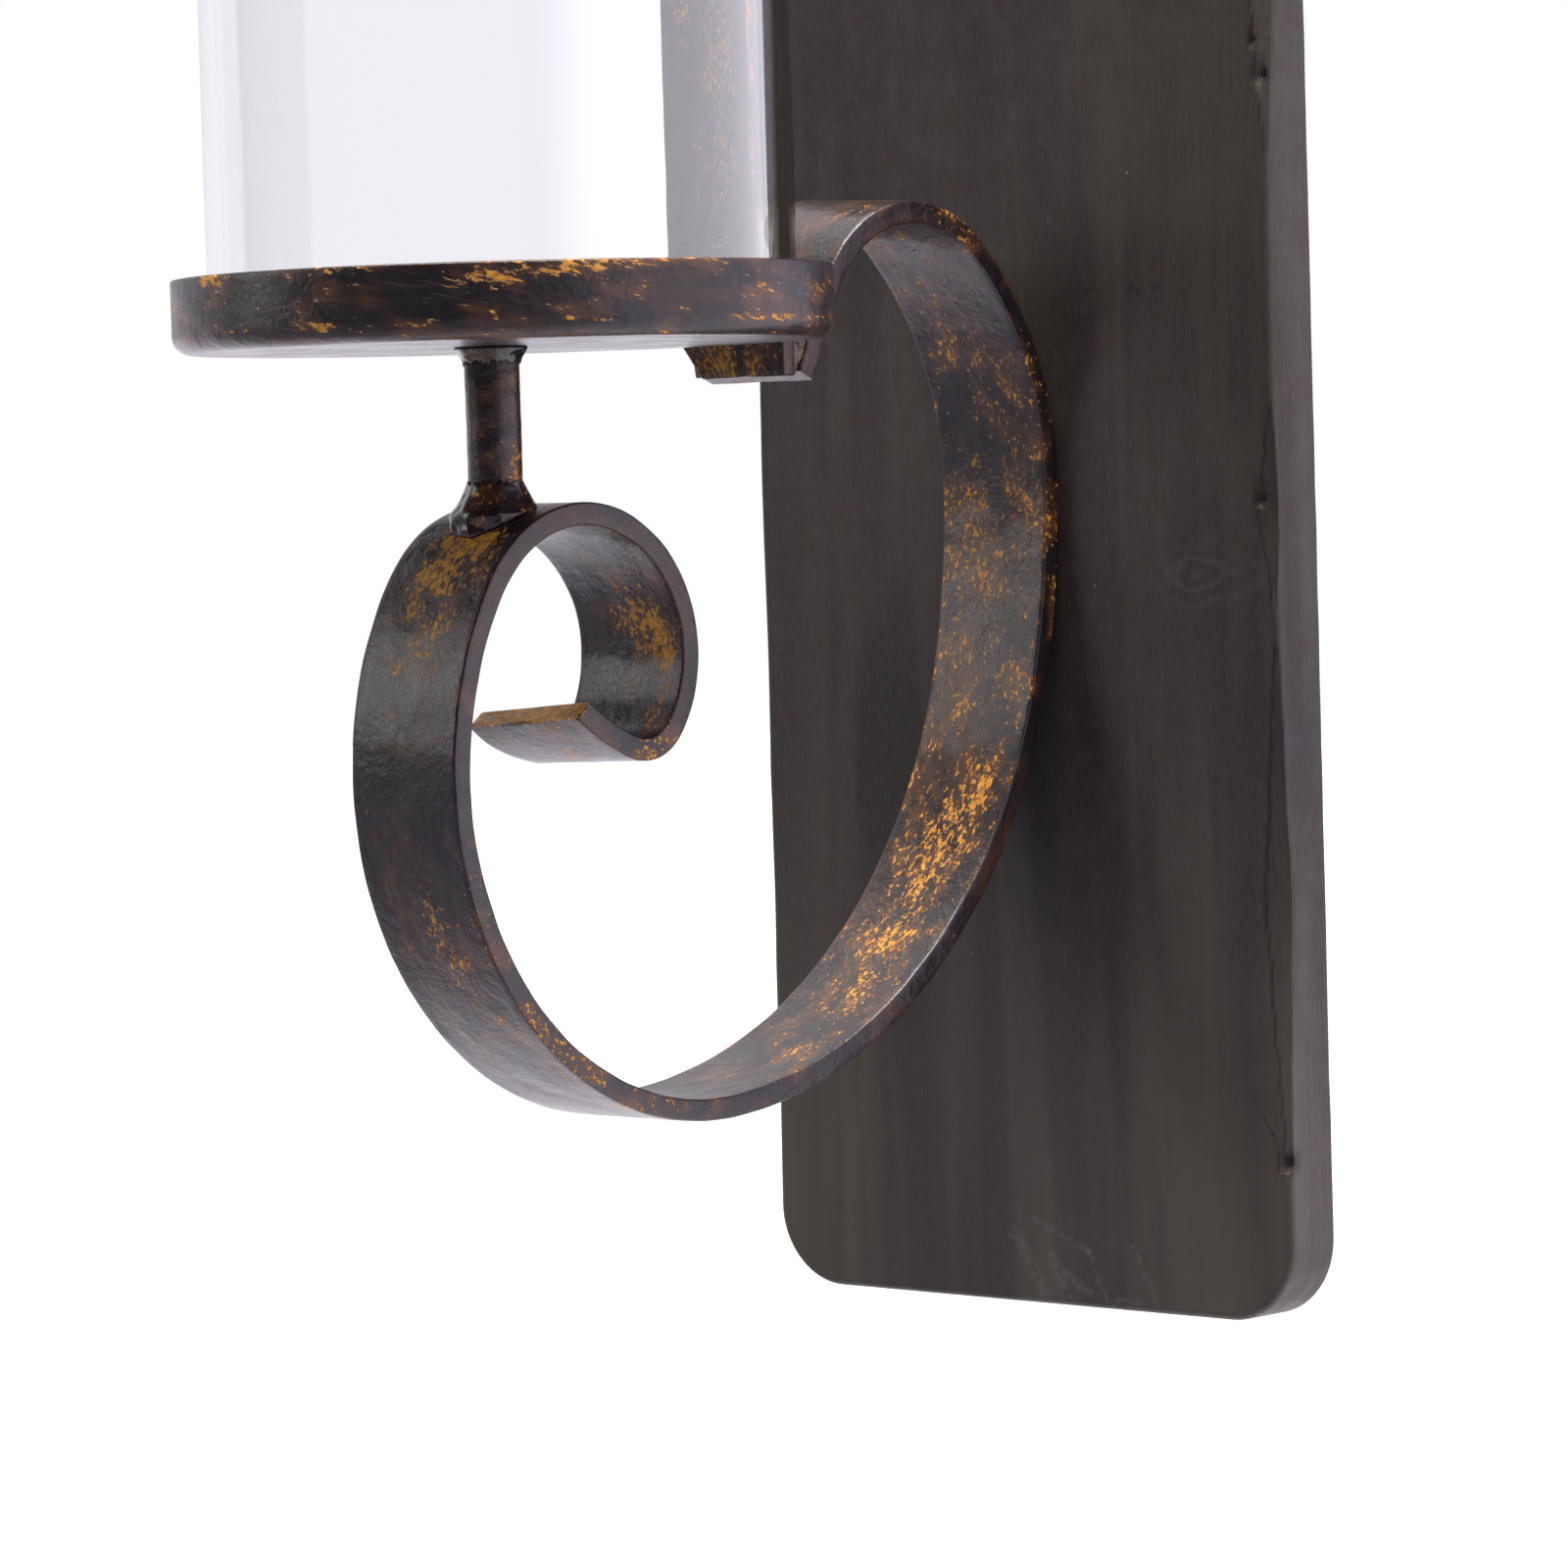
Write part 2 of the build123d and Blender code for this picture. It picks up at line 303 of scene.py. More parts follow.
def turned(
    profile: np.ndarray,
    centre: tuple[float, float],
    columns: int,
    wobble: Callable[[np.ndarray], np.ndarray] | None = None,
) -> tuple[np.ndarray, np.ndarray]:
    """Turns a profile of (radius, height) points round an upright axis.

    Args:
        profile: Rows of (radius, z), mm.
        centre: The axis' (x, y), mm.
        columns: Steps round the axis.
        wobble: Extra radius from an array of places, mm.

    Returns:
        The places, and the coordinates (arc length, z, radius) for the finish.
    """
    angles = np.linspace(-pi, pi, columns + 1)
    radius, height = profile[:, :1], profile[:, 1:]
    x, y = radius * np.cos(angles), radius * np.sin(angles)
    places = np.stack([x, y, np.broadcast_to(height, x.shape)], axis=-1)[:, :-1]
    if wobble is not None:
        extra = wobble(places)[..., None]
        out = np.stack([np.cos(angles[:-1]), np.sin(angles[:-1]), np.zeros(columns)], axis=-1)
        places = places + extra * out
    widest = float(radius.max())
    skin = np.stack(
        [
            np.broadcast_to(angles * widest, x.shape),
            np.broadcast_to(height, x.shape),
            np.broadcast_to(radius, x.shape),
        ],
        axis=-1,
    )
    return places + np.array([centre[0], centre[1], 0.0]), skin


# ---------------------------------------------------------------- shader trees


class Graph:
    """Adds nodes to one tree in few words."""

    def __init__(self, tree: bpy.types.NodeTree) -> None:
        """Keeps the tree."""
        self.tree = tree

    def node(self, kind: str, **settings: object) -> bpy.types.Node:
        """Adds a node and sets its properties.

        Args:
            kind: The node's type.
            settings: Properties by name.

        Returns:
            The node.
        """
        made = self.tree.nodes.new(kind)
        for key, value in settings.items():
            setattr(made, key, value)
        return made

    def feed(self, socket: Socket, value: object) -> None:
        """Links a socket to another, or sets its value.

        Args:
            socket: The input socket.
            value: A socket, a number, a vector or a colour.
        """
        if isinstance(value, bpy.types.NodeSocket):
            self.tree.links.new(value, socket)
        else:
            socket.default_value = value

    def math(self, operation: str, *values: object, clamp: bool = False) -> Socket:
        """A Math node's result.

        Args:
            operation: The node's operation.
            values: Sockets or numbers for its inputs.
            clamp: Keeps the result between 0 and 1.

        Returns:
            The output socket.
        """
        made = self.node("ShaderNodeMath", operation=operation, use_clamp=clamp)
        for socket, value in zip(made.inputs, values):
            self.feed(socket, value)
        return made.outputs[0]

    def vector(self, operation: str, *values: object) -> Socket:
        """A Vector Math node's vector.

        Args:
            operation: The node's operation.
            values: Sockets or vectors for its inputs.

        Returns:
            The output socket.
        """
        made = self.node("ShaderNodeVectorMath", operation=operation)
        for socket, value in zip(made.inputs, values):
            self.feed(socket, value)
        return made.outputs["Vector"]

    def noise(self, at: object, scale: object, detail: float = 2.0, **more: float) -> Socket:
        """A Noise Texture's value.

        Args:
            at: The vector socket to read.
            scale: Swells per unit of length.
            detail: Octaves.
            more: Other inputs by name, with _ for a space.

        Returns:
            The Factor socket, about 0.3 to 0.7.
        """
        made = self.node("ShaderNodeTexNoise")
        self.feed(made.inputs["Vector"], at)
        self.feed(made.inputs["Scale"], scale)
        made.inputs["Detail"].default_value = detail
        for key, value in more.items():
            made.inputs[key.replace("_", " ")].default_value = value
        return made.outputs[0]

    def rise(self, value: object, low: object, high: object) -> Socket:
        """Smooth rise from 0 at low to 1 at high.

        Args:
            value: What rises.
            low: Where the rise starts.
            high: Where it ends.

        Returns:
            The output socket.
        """
        made = self.node("ShaderNodeMapRange", interpolation_type="SMOOTHSTEP")
        self.feed(made.inputs["Value"], value)
        self.feed(made.inputs["From Min"], low)
        self.feed(made.inputs["From Max"], high)
        return made.outputs["Result"]

    def blend(self, share: object, first: object, second: object) -> Socket:
        """Mixes two colours.

        Args:
            share: How much of the second.
            first: The first colour.
            second: The second colour.

        Returns:
            The output socket.
        """
        made = self.node("ShaderNodeMix", data_type="RGBA")
        for socket, value in zip((made.inputs[0], made.inputs[6], made.inputs[7]), (share, first, second)):
            self.feed(socket, value)
        return made.outputs[2]

    def between(self, share: object, first: object, second: object) -> Socket:
        """Mixes two numbers.

        Args:
            share: How much of the second.
            first: The first number.
            second: The second number.

        Returns:
            The output socket.
        """
        made = self.node("ShaderNodeMix", data_type="FLOAT")
        for socket, value in zip((made.inputs[0], made.inputs[2], made.inputs[3]), (share, first, second)):
            self.feed(socket, value)
        return made.outputs[0]

    def stretched(self, at: Socket, along: float, across: float, depth: float) -> Socket:
        """Scales a vector by one number for each axis."""
        return self.vector("MULTIPLY", at, (along, across, depth))

    def group(self, name: str, **values: object) -> bpy.types.Node:
        """Places a node group with its inputs set.

        Args:
            name: The group's name.
            values: Its inputs by name, with _ for a space.

        Returns:
            The group node.
        """
        made = self.node("ShaderNodeGroup")
        made.node_tree = bpy.data.node_groups[name]
        for key, value in values.items():
            self.feed(made.inputs[key.replace("_", " ")], value)
        return made


@dataclass
class Recipe:
    """A shader node group with named inputs and outputs.

    Attributes:
        name: The group's name.
        inputs: Pairs of a socket's name and its kind.
        outputs: Pairs of a socket's name and its kind.
        graph: Its tree.
        entry: Its input node.
        exit: Its output node.
    """

    name: str
    inputs: tuple[tuple[str, str], ...]
    outputs: tuple[tuple[str, str], ...]
    graph: Graph = field(init=False)
    entry: bpy.types.Node = field(init=False)
    exit: bpy.types.Node = field(init=False)

    def __post_init__(self) -> None:
        """Makes the empty group and its sockets."""
        tree = bpy.data.node_groups.new(self.name, "ShaderNodeTree")
        for in_out, sockets in (("INPUT", self.inputs), ("OUTPUT", self.outputs)):
            for name, kind in sockets:
                tree.interface.new_socket(name, in_out=in_out, socket_type="NodeSocket" + kind)
        self.graph = Graph(tree)
        self.entry = self.graph.node("NodeGroupInput")
        self.exit = self.graph.node("NodeGroupOutput")

    def __getitem__(self, name: str) -> Socket:
        """One of the group's inputs, to read inside it."""
        return self.entry.outputs[name]

    def give(self, name: str, value: Socket) -> None:
        """Feeds one of the group's outputs."""
        self.graph.feed(self.exit.inputs[name], value)


def make_rub_through() -> None:
    """Group: crisp flecks of bare colour that crowd together where the wear is high."""
    recipe = Recipe(
        "rub_through",
        (("At", "Vector"), ("Wear", "Float"), ("Fleck", "Float"), ("Streak", "Float")),
        (("Mask", "Float"), ("Haze", "Float")),
    )
    graph = recipe.graph
    at = recipe["At"]
    along = graph.node("ShaderNodeCombineXYZ")
    along.inputs[1].default_value = 1.0
    along.inputs[2].default_value = 1.0
    graph.feed(along.inputs[0], recipe["Streak"])
    drawn = graph.vector("MULTIPLY", at, along.outputs[0])
    per_mm = graph.math("DIVIDE", 1.0, recipe["Fleck"])
    flecks = graph.noise(drawn, per_mm, 4.0, Roughness=0.70, Distortion=0.25)
    clumps = graph.noise(drawn, graph.math("MULTIPLY", per_mm, 0.20), 2.0, Roughness=0.6)
    patches = graph.noise(at, 0.09, 2.0)
    crowd = graph.math("ADD", flecks, graph.math("MULTIPLY", graph.math("SUBTRACT", clumps, 0.5), 0.29))
    crowd = graph.math("ADD", crowd, graph.math("MULTIPLY", graph.math("SUBTRACT", patches, 0.5), 0.18))
    edge = graph.between(recipe["Wear"], 0.73, 0.40)
    recipe.give("Mask", graph.rise(crowd, edge, graph.math("ADD", edge, 0.03)))
    soft = graph.math("ADD", clumps, graph.math("MULTIPLY", graph.math("SUBTRACT", patches, 0.5), 0.7))
    haze = graph.rise(soft, graph.math("SUBTRACT", edge, 0.20), graph.math("ADD", edge, 0.10))
    recipe.give("Haze", haze)


def make_paint_skin() -> None:
    """Group: the fine pits and ripples of brushed and sprayed satin paint."""
    recipe = Recipe(
        "paint_skin",
        (("At", "Vector"), ("Pit", "Float")),
        (("Height", "Float"), ("Gloss", "Float")),
    )
    graph = recipe.graph
    at = recipe["At"]
    per_mm = graph.math("DIVIDE", 1.0, recipe["Pit"])
    pits = graph.noise(at, per_mm, 3.0, Roughness=0.6, Distortion=0.4)
    ripples = graph.noise(at, 0.22, 2.0)
    cloud = graph.noise(graph.stretched(at, 0.05, 0.12, 0.12), 1.0, 3.0)
    height = graph.math("ADD", pits, graph.math("MULTIPLY", ripples, 2.4))
    recipe.give("Height", height)
    gloss = graph.math("MULTIPLY", graph.rise(pits, 0.35, 0.7), 0.45)
    gloss = graph.math("ADD", gloss, graph.math("MULTIPLY", graph.rise(cloud, 0.38, 0.62), 0.55))
    recipe.give("Gloss", gloss)


def make_brush_marks() -> None:
    """Group: thin dry-brush lines that run along the first axis of the coordinates."""
    recipe = Recipe(
        "brush_marks",
        (("At", "Vector"), ("Width", "Float"), ("Amount", "Float")),
        (("Mask", "Float"),),
    )
    graph = recipe.graph
    per_mm = graph.math("DIVIDE", 1.0, recipe["Width"])
    lines = graph.noise(graph.stretched(recipe["At"], 0.045, 1.0, 1.0), per_mm, 3.0, Roughness=0.6)
    breaks = graph.noise(graph.stretched(recipe["At"], 0.05, 0.22, 0.22), 1.0, 2.0)
    both = graph.math("ADD", lines, graph.math("MULTIPLY", graph.math("SUBTRACT", breaks, 0.5), 0.6))
    edge = graph.between(recipe["Amount"], 0.75, 0.42)
    recipe.give("Mask", graph.rise(both, edge, graph.math("ADD", edge, 0.12)))


def make_specks() -> None:
    """Group: sparse small round specks of dust or lint."""
    recipe = Recipe(
        "specks",
        (("At", "Vector"), ("Spacing", "Float"), ("Size", "Float")),
        (("Mask", "Float"),),
    )
    graph = recipe.graph
    cells = graph.node("ShaderNodeTexVoronoi")
    cells.inputs["Randomness"].default_value = 1.0
    graph.feed(cells.inputs["Vector"], recipe["At"])
    graph.feed(cells.inputs["Scale"], graph.math("DIVIDE", 1.0, recipe["Spacing"]))
    lot = graph.node("ShaderNodeSeparateColor")
    graph.feed(lot.inputs[0], cells.outputs["Color"])
    reach = graph.math("DIVIDE", recipe["Size"], recipe["Spacing"])
    reach = graph.math("MULTIPLY", reach, graph.math("POWER", lot.outputs[0], 4.0))
    near = graph.math("SUBTRACT", reach, cells.outputs["Distance"])
    recipe.give("Mask", graph.rise(near, 0.0, graph.math("MULTIPLY", reach, 0.5)))


def make_stroke() -> None:
    """Group: one soft rubbed stroke from From to To."""
    recipe = Recipe(
        "stroke",
        (("At", "Vector"), ("From", "Vector"), ("To", "Vector"), ("Width", "Float")),
        (("Mask", "Float"),),
    )
    graph = recipe.graph
    bent = graph.node("ShaderNodeTexNoise")
    bent.inputs["Scale"].default_value = 0.25
    graph.feed(bent.inputs["Vector"], recipe["At"])
    shift = graph.vector("SCALE", graph.vector("SUBTRACT", bent.outputs["Color"], (0.5, 0.5, 0.5)))
    shift.node.inputs["Scale"].default_value = 2.4
    at = graph.vector("ADD", recipe["At"], shift)
    run = graph.vector("SUBTRACT", recipe["To"], recipe["From"])
    there = graph.vector("SUBTRACT", at, recipe["From"])
    ahead = graph.node("ShaderNodeVectorMath", operation="DOT_PRODUCT")
    graph.feed(ahead.inputs[0], there)
    graph.feed(ahead.inputs[1], run)
    length = graph.node("ShaderNodeVectorMath", operation="DOT_PRODUCT")
    graph.feed(length.inputs[0], run)
    graph.feed(length.inputs[1], run)
    share = graph.math("DIVIDE", ahead.outputs["Value"], length.outputs["Value"], clamp=True)
    nearest = graph.node("ShaderNodeVectorMath", operation="SCALE")
    graph.feed(nearest.inputs[0], run)
    graph.feed(nearest.inputs["Scale"], share)
    gap = graph.node("ShaderNodeVectorMath", operation="DISTANCE")
    graph.feed(gap.inputs[0], there)
    graph.feed(gap.inputs[1], nearest.outputs["Vector"])
    body = graph.rise(gap.outputs["Value"], recipe["Width"], 0.0)
    broken = graph.rise(graph.noise(recipe["At"], 0.7, 3.0), 0.36, 0.62)
    recipe.give("Mask", graph.math("MULTIPLY", body, broken))


def make_groups() -> None:
    """Makes every shared effect once."""
    for make in (make_rub_through, make_paint_skin, make_brush_marks, make_specks, make_stroke):
        make()


# ---------------------------------------------------------------- finishes


Colour = tuple[float, float, float, float]


@dataclass(frozen=True)
class Finish:
    """What every finish shares.

    Attributes:
        name: The material's name.
    """

    name: str

    def start(self) -> tuple[Material, Graph, bpy.types.Node]:
        """A new material with only its Principled shader.

        Returns:
            The material, its graph and the shader.
        """
        material = bpy.data.materials.new(self.name)
        material.use_nodes = True
        graph = Graph(material.node_tree)
        shader = material.node_tree.nodes["Principled BSDF"]
        return material, graph, shader

    def bump(self, graph: Graph, shader: bpy.types.Node, height: Socket, depth: float) -> None:
        """Feeds the shader's Normal from a height.

        Args:
            graph: The material's graph.
            shader: Its Principled shader.
            height: The height, 0 to 1.
            depth: What a height of 1 is, mm.
        """
        made = graph.node("ShaderNodeBump")
        made.inputs["Distance"].default_value = depth * MM
        graph.feed(made.inputs["Height"], height)
        graph.feed(shader.inputs["Normal"], made.outputs[0])


@dataclass(frozen=True)
class AgedMetal(Finish):
    """Near-black satin paint over ochre, rubbed through where the wear attribute says.

    Attributes:
        paint: The paint's colour.
        brown: The thinner paint next to bare flecks.
        ochre: The coat under the paint.
        fleck: Size of the flecks, mm.
        streak: How far flecks are drawn out along the bar, 1 for not at all.
        pit: Size of the paint's pits, mm.
        pit_depth: Depth of its pits, mm.
        brushed: How much of the surface has dry-brush lines, 0 to 1.
        rough: Roughness of the paint.
        coat: Weight of the wax over it.
    """

    paint: Colour = (0.0095, 0.0072, 0.0086, 1.0)
    brown: Colour = (0.105, 0.041, 0.014, 1.0)
    ochre: Colour = (0.72, 0.325, 0.026, 1.0)
    fleck: float = 0.84
    streak: float = 0.66
    pit: float = 0.9
    pit_depth: float = 0.16
    brushed: float = 0.0
    rough: float = 0.32
    coat: float = 0.18

    def material(self) -> Material:
        """Builds the material.

        Returns:
            The material.
        """
        material, graph, shader = self.start()
        at = graph.node("ShaderNodeAttribute", attribute_name=SKIN).outputs["Vector"]
        wear = graph.node("ShaderNodeAttribute", attribute_name=WEAR_AND_SHADE).outputs["Fac"]
        rub = graph.group("rub_through", At=at, Wear=wear, Fleck=self.fleck, Streak=self.streak)
        skin = graph.group("paint_skin", At=at, Pit=self.pit)
        marks = graph.group("brush_marks", At=at, Width=0.55, Amount=0.10 + 0.5 * self.brushed)
        dust = graph.group("specks", At=at, Spacing=7.0, Size=0.55)

        patchy = graph.rise(graph.noise(graph.stretched(at, 0.03, 0.11, 0.11), 1.0, 3.0), 0.45, 0.72)
        colour = graph.blend(graph.math("MULTIPLY", patchy, 0.30), self.paint, self.brown)
        pale = (0.11, 0.098, 0.105, 1.0)
        colour = graph.blend(graph.math("MULTIPLY", marks.outputs["Mask"], 0.20), colour, pale)
        colour = graph.blend(graph.math("MULTIPLY", rub.outputs["Haze"], 0.75), colour, self.brown)
        shade = graph.noise(at, 0.9, 2.0)
        deep = tuple(0.62 * c for c in self.ochre[:3]) + (1.0,)
        ochre = graph.blend(graph.rise(shade, 0.36, 0.6), deep, self.ochre)
        colour = graph.blend(rub.outputs["Mask"], colour, ochre)
        lint = graph.math("MULTIPLY", dust.outputs["Mask"], 0.5)
        colour = graph.blend(lint, colour, (0.34, 0.32, 0.3, 1.0))
        graph.feed(shader.inputs["Base Color"], colour)

        rough = graph.between(skin.outputs["Gloss"], self.rough + 0.10, self.rough - 0.05)
        rough = graph.between(rub.outputs["Mask"], rough, 0.62)
        graph.feed(shader.inputs["Roughness"], rough)
        chipped = graph.math("MULTIPLY", rub.outputs["Mask"], -0.55)
        height = graph.math("ADD", skin.outputs["Height"], chipped)
        self.bump(graph, shader, height, self.pit_depth)
        shader.inputs["Specular IOR Level"].default_value = 0.50
        shader.inputs["Coat Weight"].default_value = self.coat
        shader.inputs["Coat Roughness"].default_value = 0.14
        return material


@dataclass(frozen=True)
class StainedWood(Finish):
    """Dark grey-brown stain on a planed board, with soft streaks along it.

    Attributes:
        dark: The darkest stain.
        wash: The olive-grey wash over it.
        warm: The reddish undertone.
        strokes: Pale rubbed strokes as (from x, from z, to x, to z, width), mm.
        dents: Painted shade of small dents and cracks that have no relief, given in the same way.
        face: The front face's y, mm.
    """

    dark: Colour = (0.020, 0.0150, 0.0140, 1.0)
    wash: Colour = (0.050, 0.0420, 0.0345, 1.0)
    warm: Colour = (0.056, 0.031, 0.028, 1.0)
    strokes: tuple[tuple[float, float, float, float, float], ...] = ()
    dents: tuple[tuple[float, float, float, float, float], ...] = ()
    face: float = 0.0

    def knot(self, graph: Graph, at: Socket) -> Socket:
        """Mask of a faint swirl in the wood.

        Args:
            graph: The material's graph.
            at: Coordinates, mm.

        Returns:
            The mask, 0 to about 0.4.
        """
        away = graph.vector("SUBTRACT", at, (46.0, self.face, -66.0))
        bent = graph.vector("MULTIPLY", away, (0.55, 1.0, 1.15))
        reach = graph.node("ShaderNodeVectorMath", operation="LENGTH")
        graph.feed(reach.inputs[0], bent)
        waver = graph.math("MULTIPLY", graph.noise(at, 0.12, 3.0), 9.0)
        gap = graph.math("ADD", reach.outputs["Value"], waver)
        rings = graph.rise(graph.math("SINE", graph.math("MULTIPLY", gap, 1.9)), -0.2, 1.0)
        return graph.math("MULTIPLY", graph.math("MULTIPLY", rings, graph.rise(gap, 14.0, 7.0)), 0.30)

    def material(self) -> Material:
        """Builds the material.

        Returns:
            The material.
        """
        material, graph, shader = self.start()
        at = graph.node("ShaderNodeAttribute", attribute_name=SKIN).outputs["Vector"]
        drawn = graph.stretched(at, 0.055, 0.12, 0.0055)
        streaks = graph.noise(drawn, 1.0, 3.0, Roughness=0.55, Distortion=0.6)
        cloud = graph.noise(graph.stretched(at, 0.022, 0.03, 0.010), 1.0, 3.0, Roughness=0.6)
        grain = graph.noise(graph.stretched(at, 1.5, 1.5, 0.05), 1.0, 4.0, Roughness=0.6, Distortion=0.3)
        fibre = graph.noise(graph.stretched(at, 2.6, 2.6, 0.35), 1.0, 2.0)
        mottle = graph.noise(at, 0.16, 3.0, Roughness=0.6)

        share = graph.math("ADD", graph.math("MULTIPLY", streaks, 1.1), graph.math("MULTIPLY", cloud, 0.7))
        colour = graph.blend(graph.rise(share, 0.68, 1.12), self.dark, self.wash)
        warm = graph.rise(mottle, 0.52, 0.72)
        colour = graph.blend(graph.math("MULTIPLY", warm, 0.50), colour, self.warm)
        lines = graph.rise(grain, 0.40, 0.66)
        colour = graph.blend(graph.math("MULTIPLY", lines, 0.30), colour, self.dark)
        pale = (0.085, 0.080, 0.072, 1.0)
        colour = graph.blend(graph.math("MULTIPLY", graph.rise(fibre, 0.50, 0.70), 0.24), colour, pale)

        front = graph.node("ShaderNodeSeparateXYZ")
        graph.feed(front.inputs[0], at)
        # Paler towards the board's foot, broken up by the streaks: painted light from the floor below, over
        # paler smears of the wash.
        foot = graph.math("ADD", graph.math("MULTIPLY", graph.rise(streaks, 0.3, 0.7), 0.6), 0.4)
        foot = graph.math("MULTIPLY", graph.rise(front.outputs[2], -85.0, -190.0), foot)
        colour = graph.blend(graph.math("MULTIPLY", foot, 0.70), colour, (0.105, 0.090, 0.075, 1.0))
        colour = graph.blend(self.knot(graph, at), colour, (0.074, 0.064, 0.054, 1.0))
        # On the board the wear attribute holds painted shade: near-black in the nicks and along the chamfers'
        # borders.
        crease_shade = graph.node("ShaderNodeAttribute", attribute_name=WEAR_AND_SHADE).outputs["Fac"]
        colour = graph.blend(graph.math("MULTIPLY", crease_shade, 0.85), colour, (0.004, 0.003, 0.003, 1.0))
        wax = (0.155, 0.145, 0.132, 1.0)
        on_front = graph.rise(front.outputs[1], self.face + 1.5, self.face + 0.5)
        # The dents are painted shade: near-black lines where small dents and cracks would hold shade.
        dent_shade = (0.006, 0.005, 0.005, 1.0)
        for marks, tone, share in ((self.strokes, wax, 0.5), (self.dents, dent_shade, 0.9)):
            for x0, z0, x1, z1, width in marks:
                stroke = graph.group(
                    "stroke", At=at, From=(x0, self.face, z0), To=(x1, self.face, z1), Width=width
                )
                mask = graph.math("MULTIPLY", graph.math("MULTIPLY", stroke.outputs["Mask"], on_front), share)
                colour = graph.blend(mask, colour, tone)
        specks = graph.group("specks", At=at, Spacing=11.0, Size=0.75)
        lint = graph.math("MULTIPLY", specks.outputs["Mask"], 0.55)
        colour = graph.blend(lint, colour, (0.26, 0.25, 0.23, 1.0))
        graph.feed(shader.inputs["Base Color"], colour)
        graph.feed(shader.inputs["Roughness"], graph.between(graph.rise(mottle, 0.35, 0.65), 0.47, 0.60))
        height = graph.math("ADD", graph.math("MULTIPLY", grain, 0.9), graph.math("MULTIPLY", fibre, 0.55))
        height = graph.math("ADD", height, graph.math("MULTIPLY", streaks, 2.0))
        self.bump(graph, shader, height, 0.05)
        shader.inputs["Specular IOR Level"].default_value = 0.36
        return material


@dataclass(frozen=True)
class ClearGlass(Finish):
    """Clear blown glass with a few faint smudges.

    Attributes:
        tint: The glass's colour.
    """

    tint: Colour = (0.985, 0.99, 0.992, 1.0)

    def material(self) -> Material:
        """Builds the material.

        Returns:
            The material.
        """
        material, graph, shader = self.start()
        at = graph.node("ShaderNodeAttribute", attribute_name=SKIN).outputs["Vector"]
        smudge = graph.rise(graph.noise(graph.stretched(at, 0.035, 0.02, 0.05), 1.0, 4.0), 0.58, 0.78)
        dust = graph.group("specks", At=at, Spacing=16.0, Size=0.8)
        film = graph.math("MULTIPLY", smudge, 0.03)
        film = graph.math("ADD", film, graph.math("MULTIPLY", dust.outputs["Mask"], 0.45))
        graph.feed(shader.inputs["Roughness"], film)
        ripples = graph.noise(graph.stretched(at, 0.05, 0.012, 0.05), 1.0, 1.5)
        self.bump(graph, shader, ripples, 0.06)
        shader.inputs["Base Color"].default_value = self.tint
        shader.inputs["Transmission Weight"].default_value = 1.0
        shader.inputs["IOR"].default_value = 1.55
        return material


@dataclass(frozen=True)
class ZincSteel(Finish):
    """Dull zinc-plated steel with handling marks, on pieces that carry plain object coordinates.

    Attributes:
        zinc: The plate's colour.
        dull: The colour of its oxide.
    """

    zinc: Colour = (0.38, 0.38, 0.36, 1.0)
    dull: Colour = (0.21, 0.205, 0.19, 1.0)

    def material(self) -> Material:
        """Builds the material.

        Returns:
            The material.
        """
        material, graph, shader = self.start()
        object_at = graph.node("ShaderNodeTexCoord").outputs["Object"]
        at = graph.vector("SCALE", object_at)
        at.node.inputs["Scale"].default_value = 1.0 / MM
        cloud = graph.rise(graph.noise(at, 0.45, 4.0, Roughness=0.65), 0.40, 0.66)
        marks = graph.group("brush_marks", At=at, Width=0.25, Amount=0.35)
        dust = graph.group("specks", At=at, Spacing=3.0, Size=0.3)
        colour = graph.blend(cloud, self.zinc, self.dull)
        colour = graph.blend(graph.math("MULTIPLY", marks.outputs["Mask"], 0.35), colour, self.zinc)
        colour = graph.blend(dust.outputs["Mask"], colour, (0.17, 0.12, 0.08, 1.0))
        graph.feed(shader.inputs["Base Color"], colour)
        graph.feed(shader.inputs["Roughness"], graph.between(cloud, 0.30, 0.55))
        graph.feed(shader.inputs["Metallic"], graph.between(dust.outputs["Mask"], 1.0, 0.2))
        scratches = graph.math("MULTIPLY", marks.outputs["Mask"], 0.3)
        height = graph.math("ADD", graph.noise(at, 3.0, 2.0), scratches)
        self.bump(graph, shader, height, 0.012)
        return material


# ---------------------------------------------------------------- rubbed patches


@dataclass(frozen=True)
class Rub:
    """A patch where the paint is rubbed through.

    Attributes:
        side: The side of the bar that it is on.
        along: Its middle along the piece, mm or degrees.
        across: Its middle across the piece, mm.
        length: Half of its length, in the unit of along.
        width: Half of its width, mm.
        strength: Wear at its middle, 0 to 1.
    """

    side: Side
    along: float
    across: float
    length: float
    width: float
    strength: float

    def wear(self, along: np.ndarray, across: np.ndarray) -> np.ndarray:
        """Wear that this patch gives at each place."""
        reach = ((along - self.along) / self.length) ** 2 + ((across - self.across) / self.width) ** 2
        return self.strength * np.exp(-0.9 * reach)


def rubbed(patches: Iterable[Rub], along: np.ndarray, across: np.ndarray, sides: np.ndarray) -> np.ndarray:
    """The strongest wear of several patches at each place.

    Args:
        patches: The patches.
        along: Place along the piece, in the patches' unit.
        across: Place across it, mm.
        sides: Value of the Side that each place is on.

    Returns:
        Wear from 0 to 1.
    """
    total = np.zeros(np.broadcast(along, across).shape)
    for patch in patches:
        total = np.maximum(total, patch.wear(along, across) * (sides == patch.side.value))
    return np.clip(total, 0.0, 1.0)


# ---------------------------------------------------------------- bent flat bars


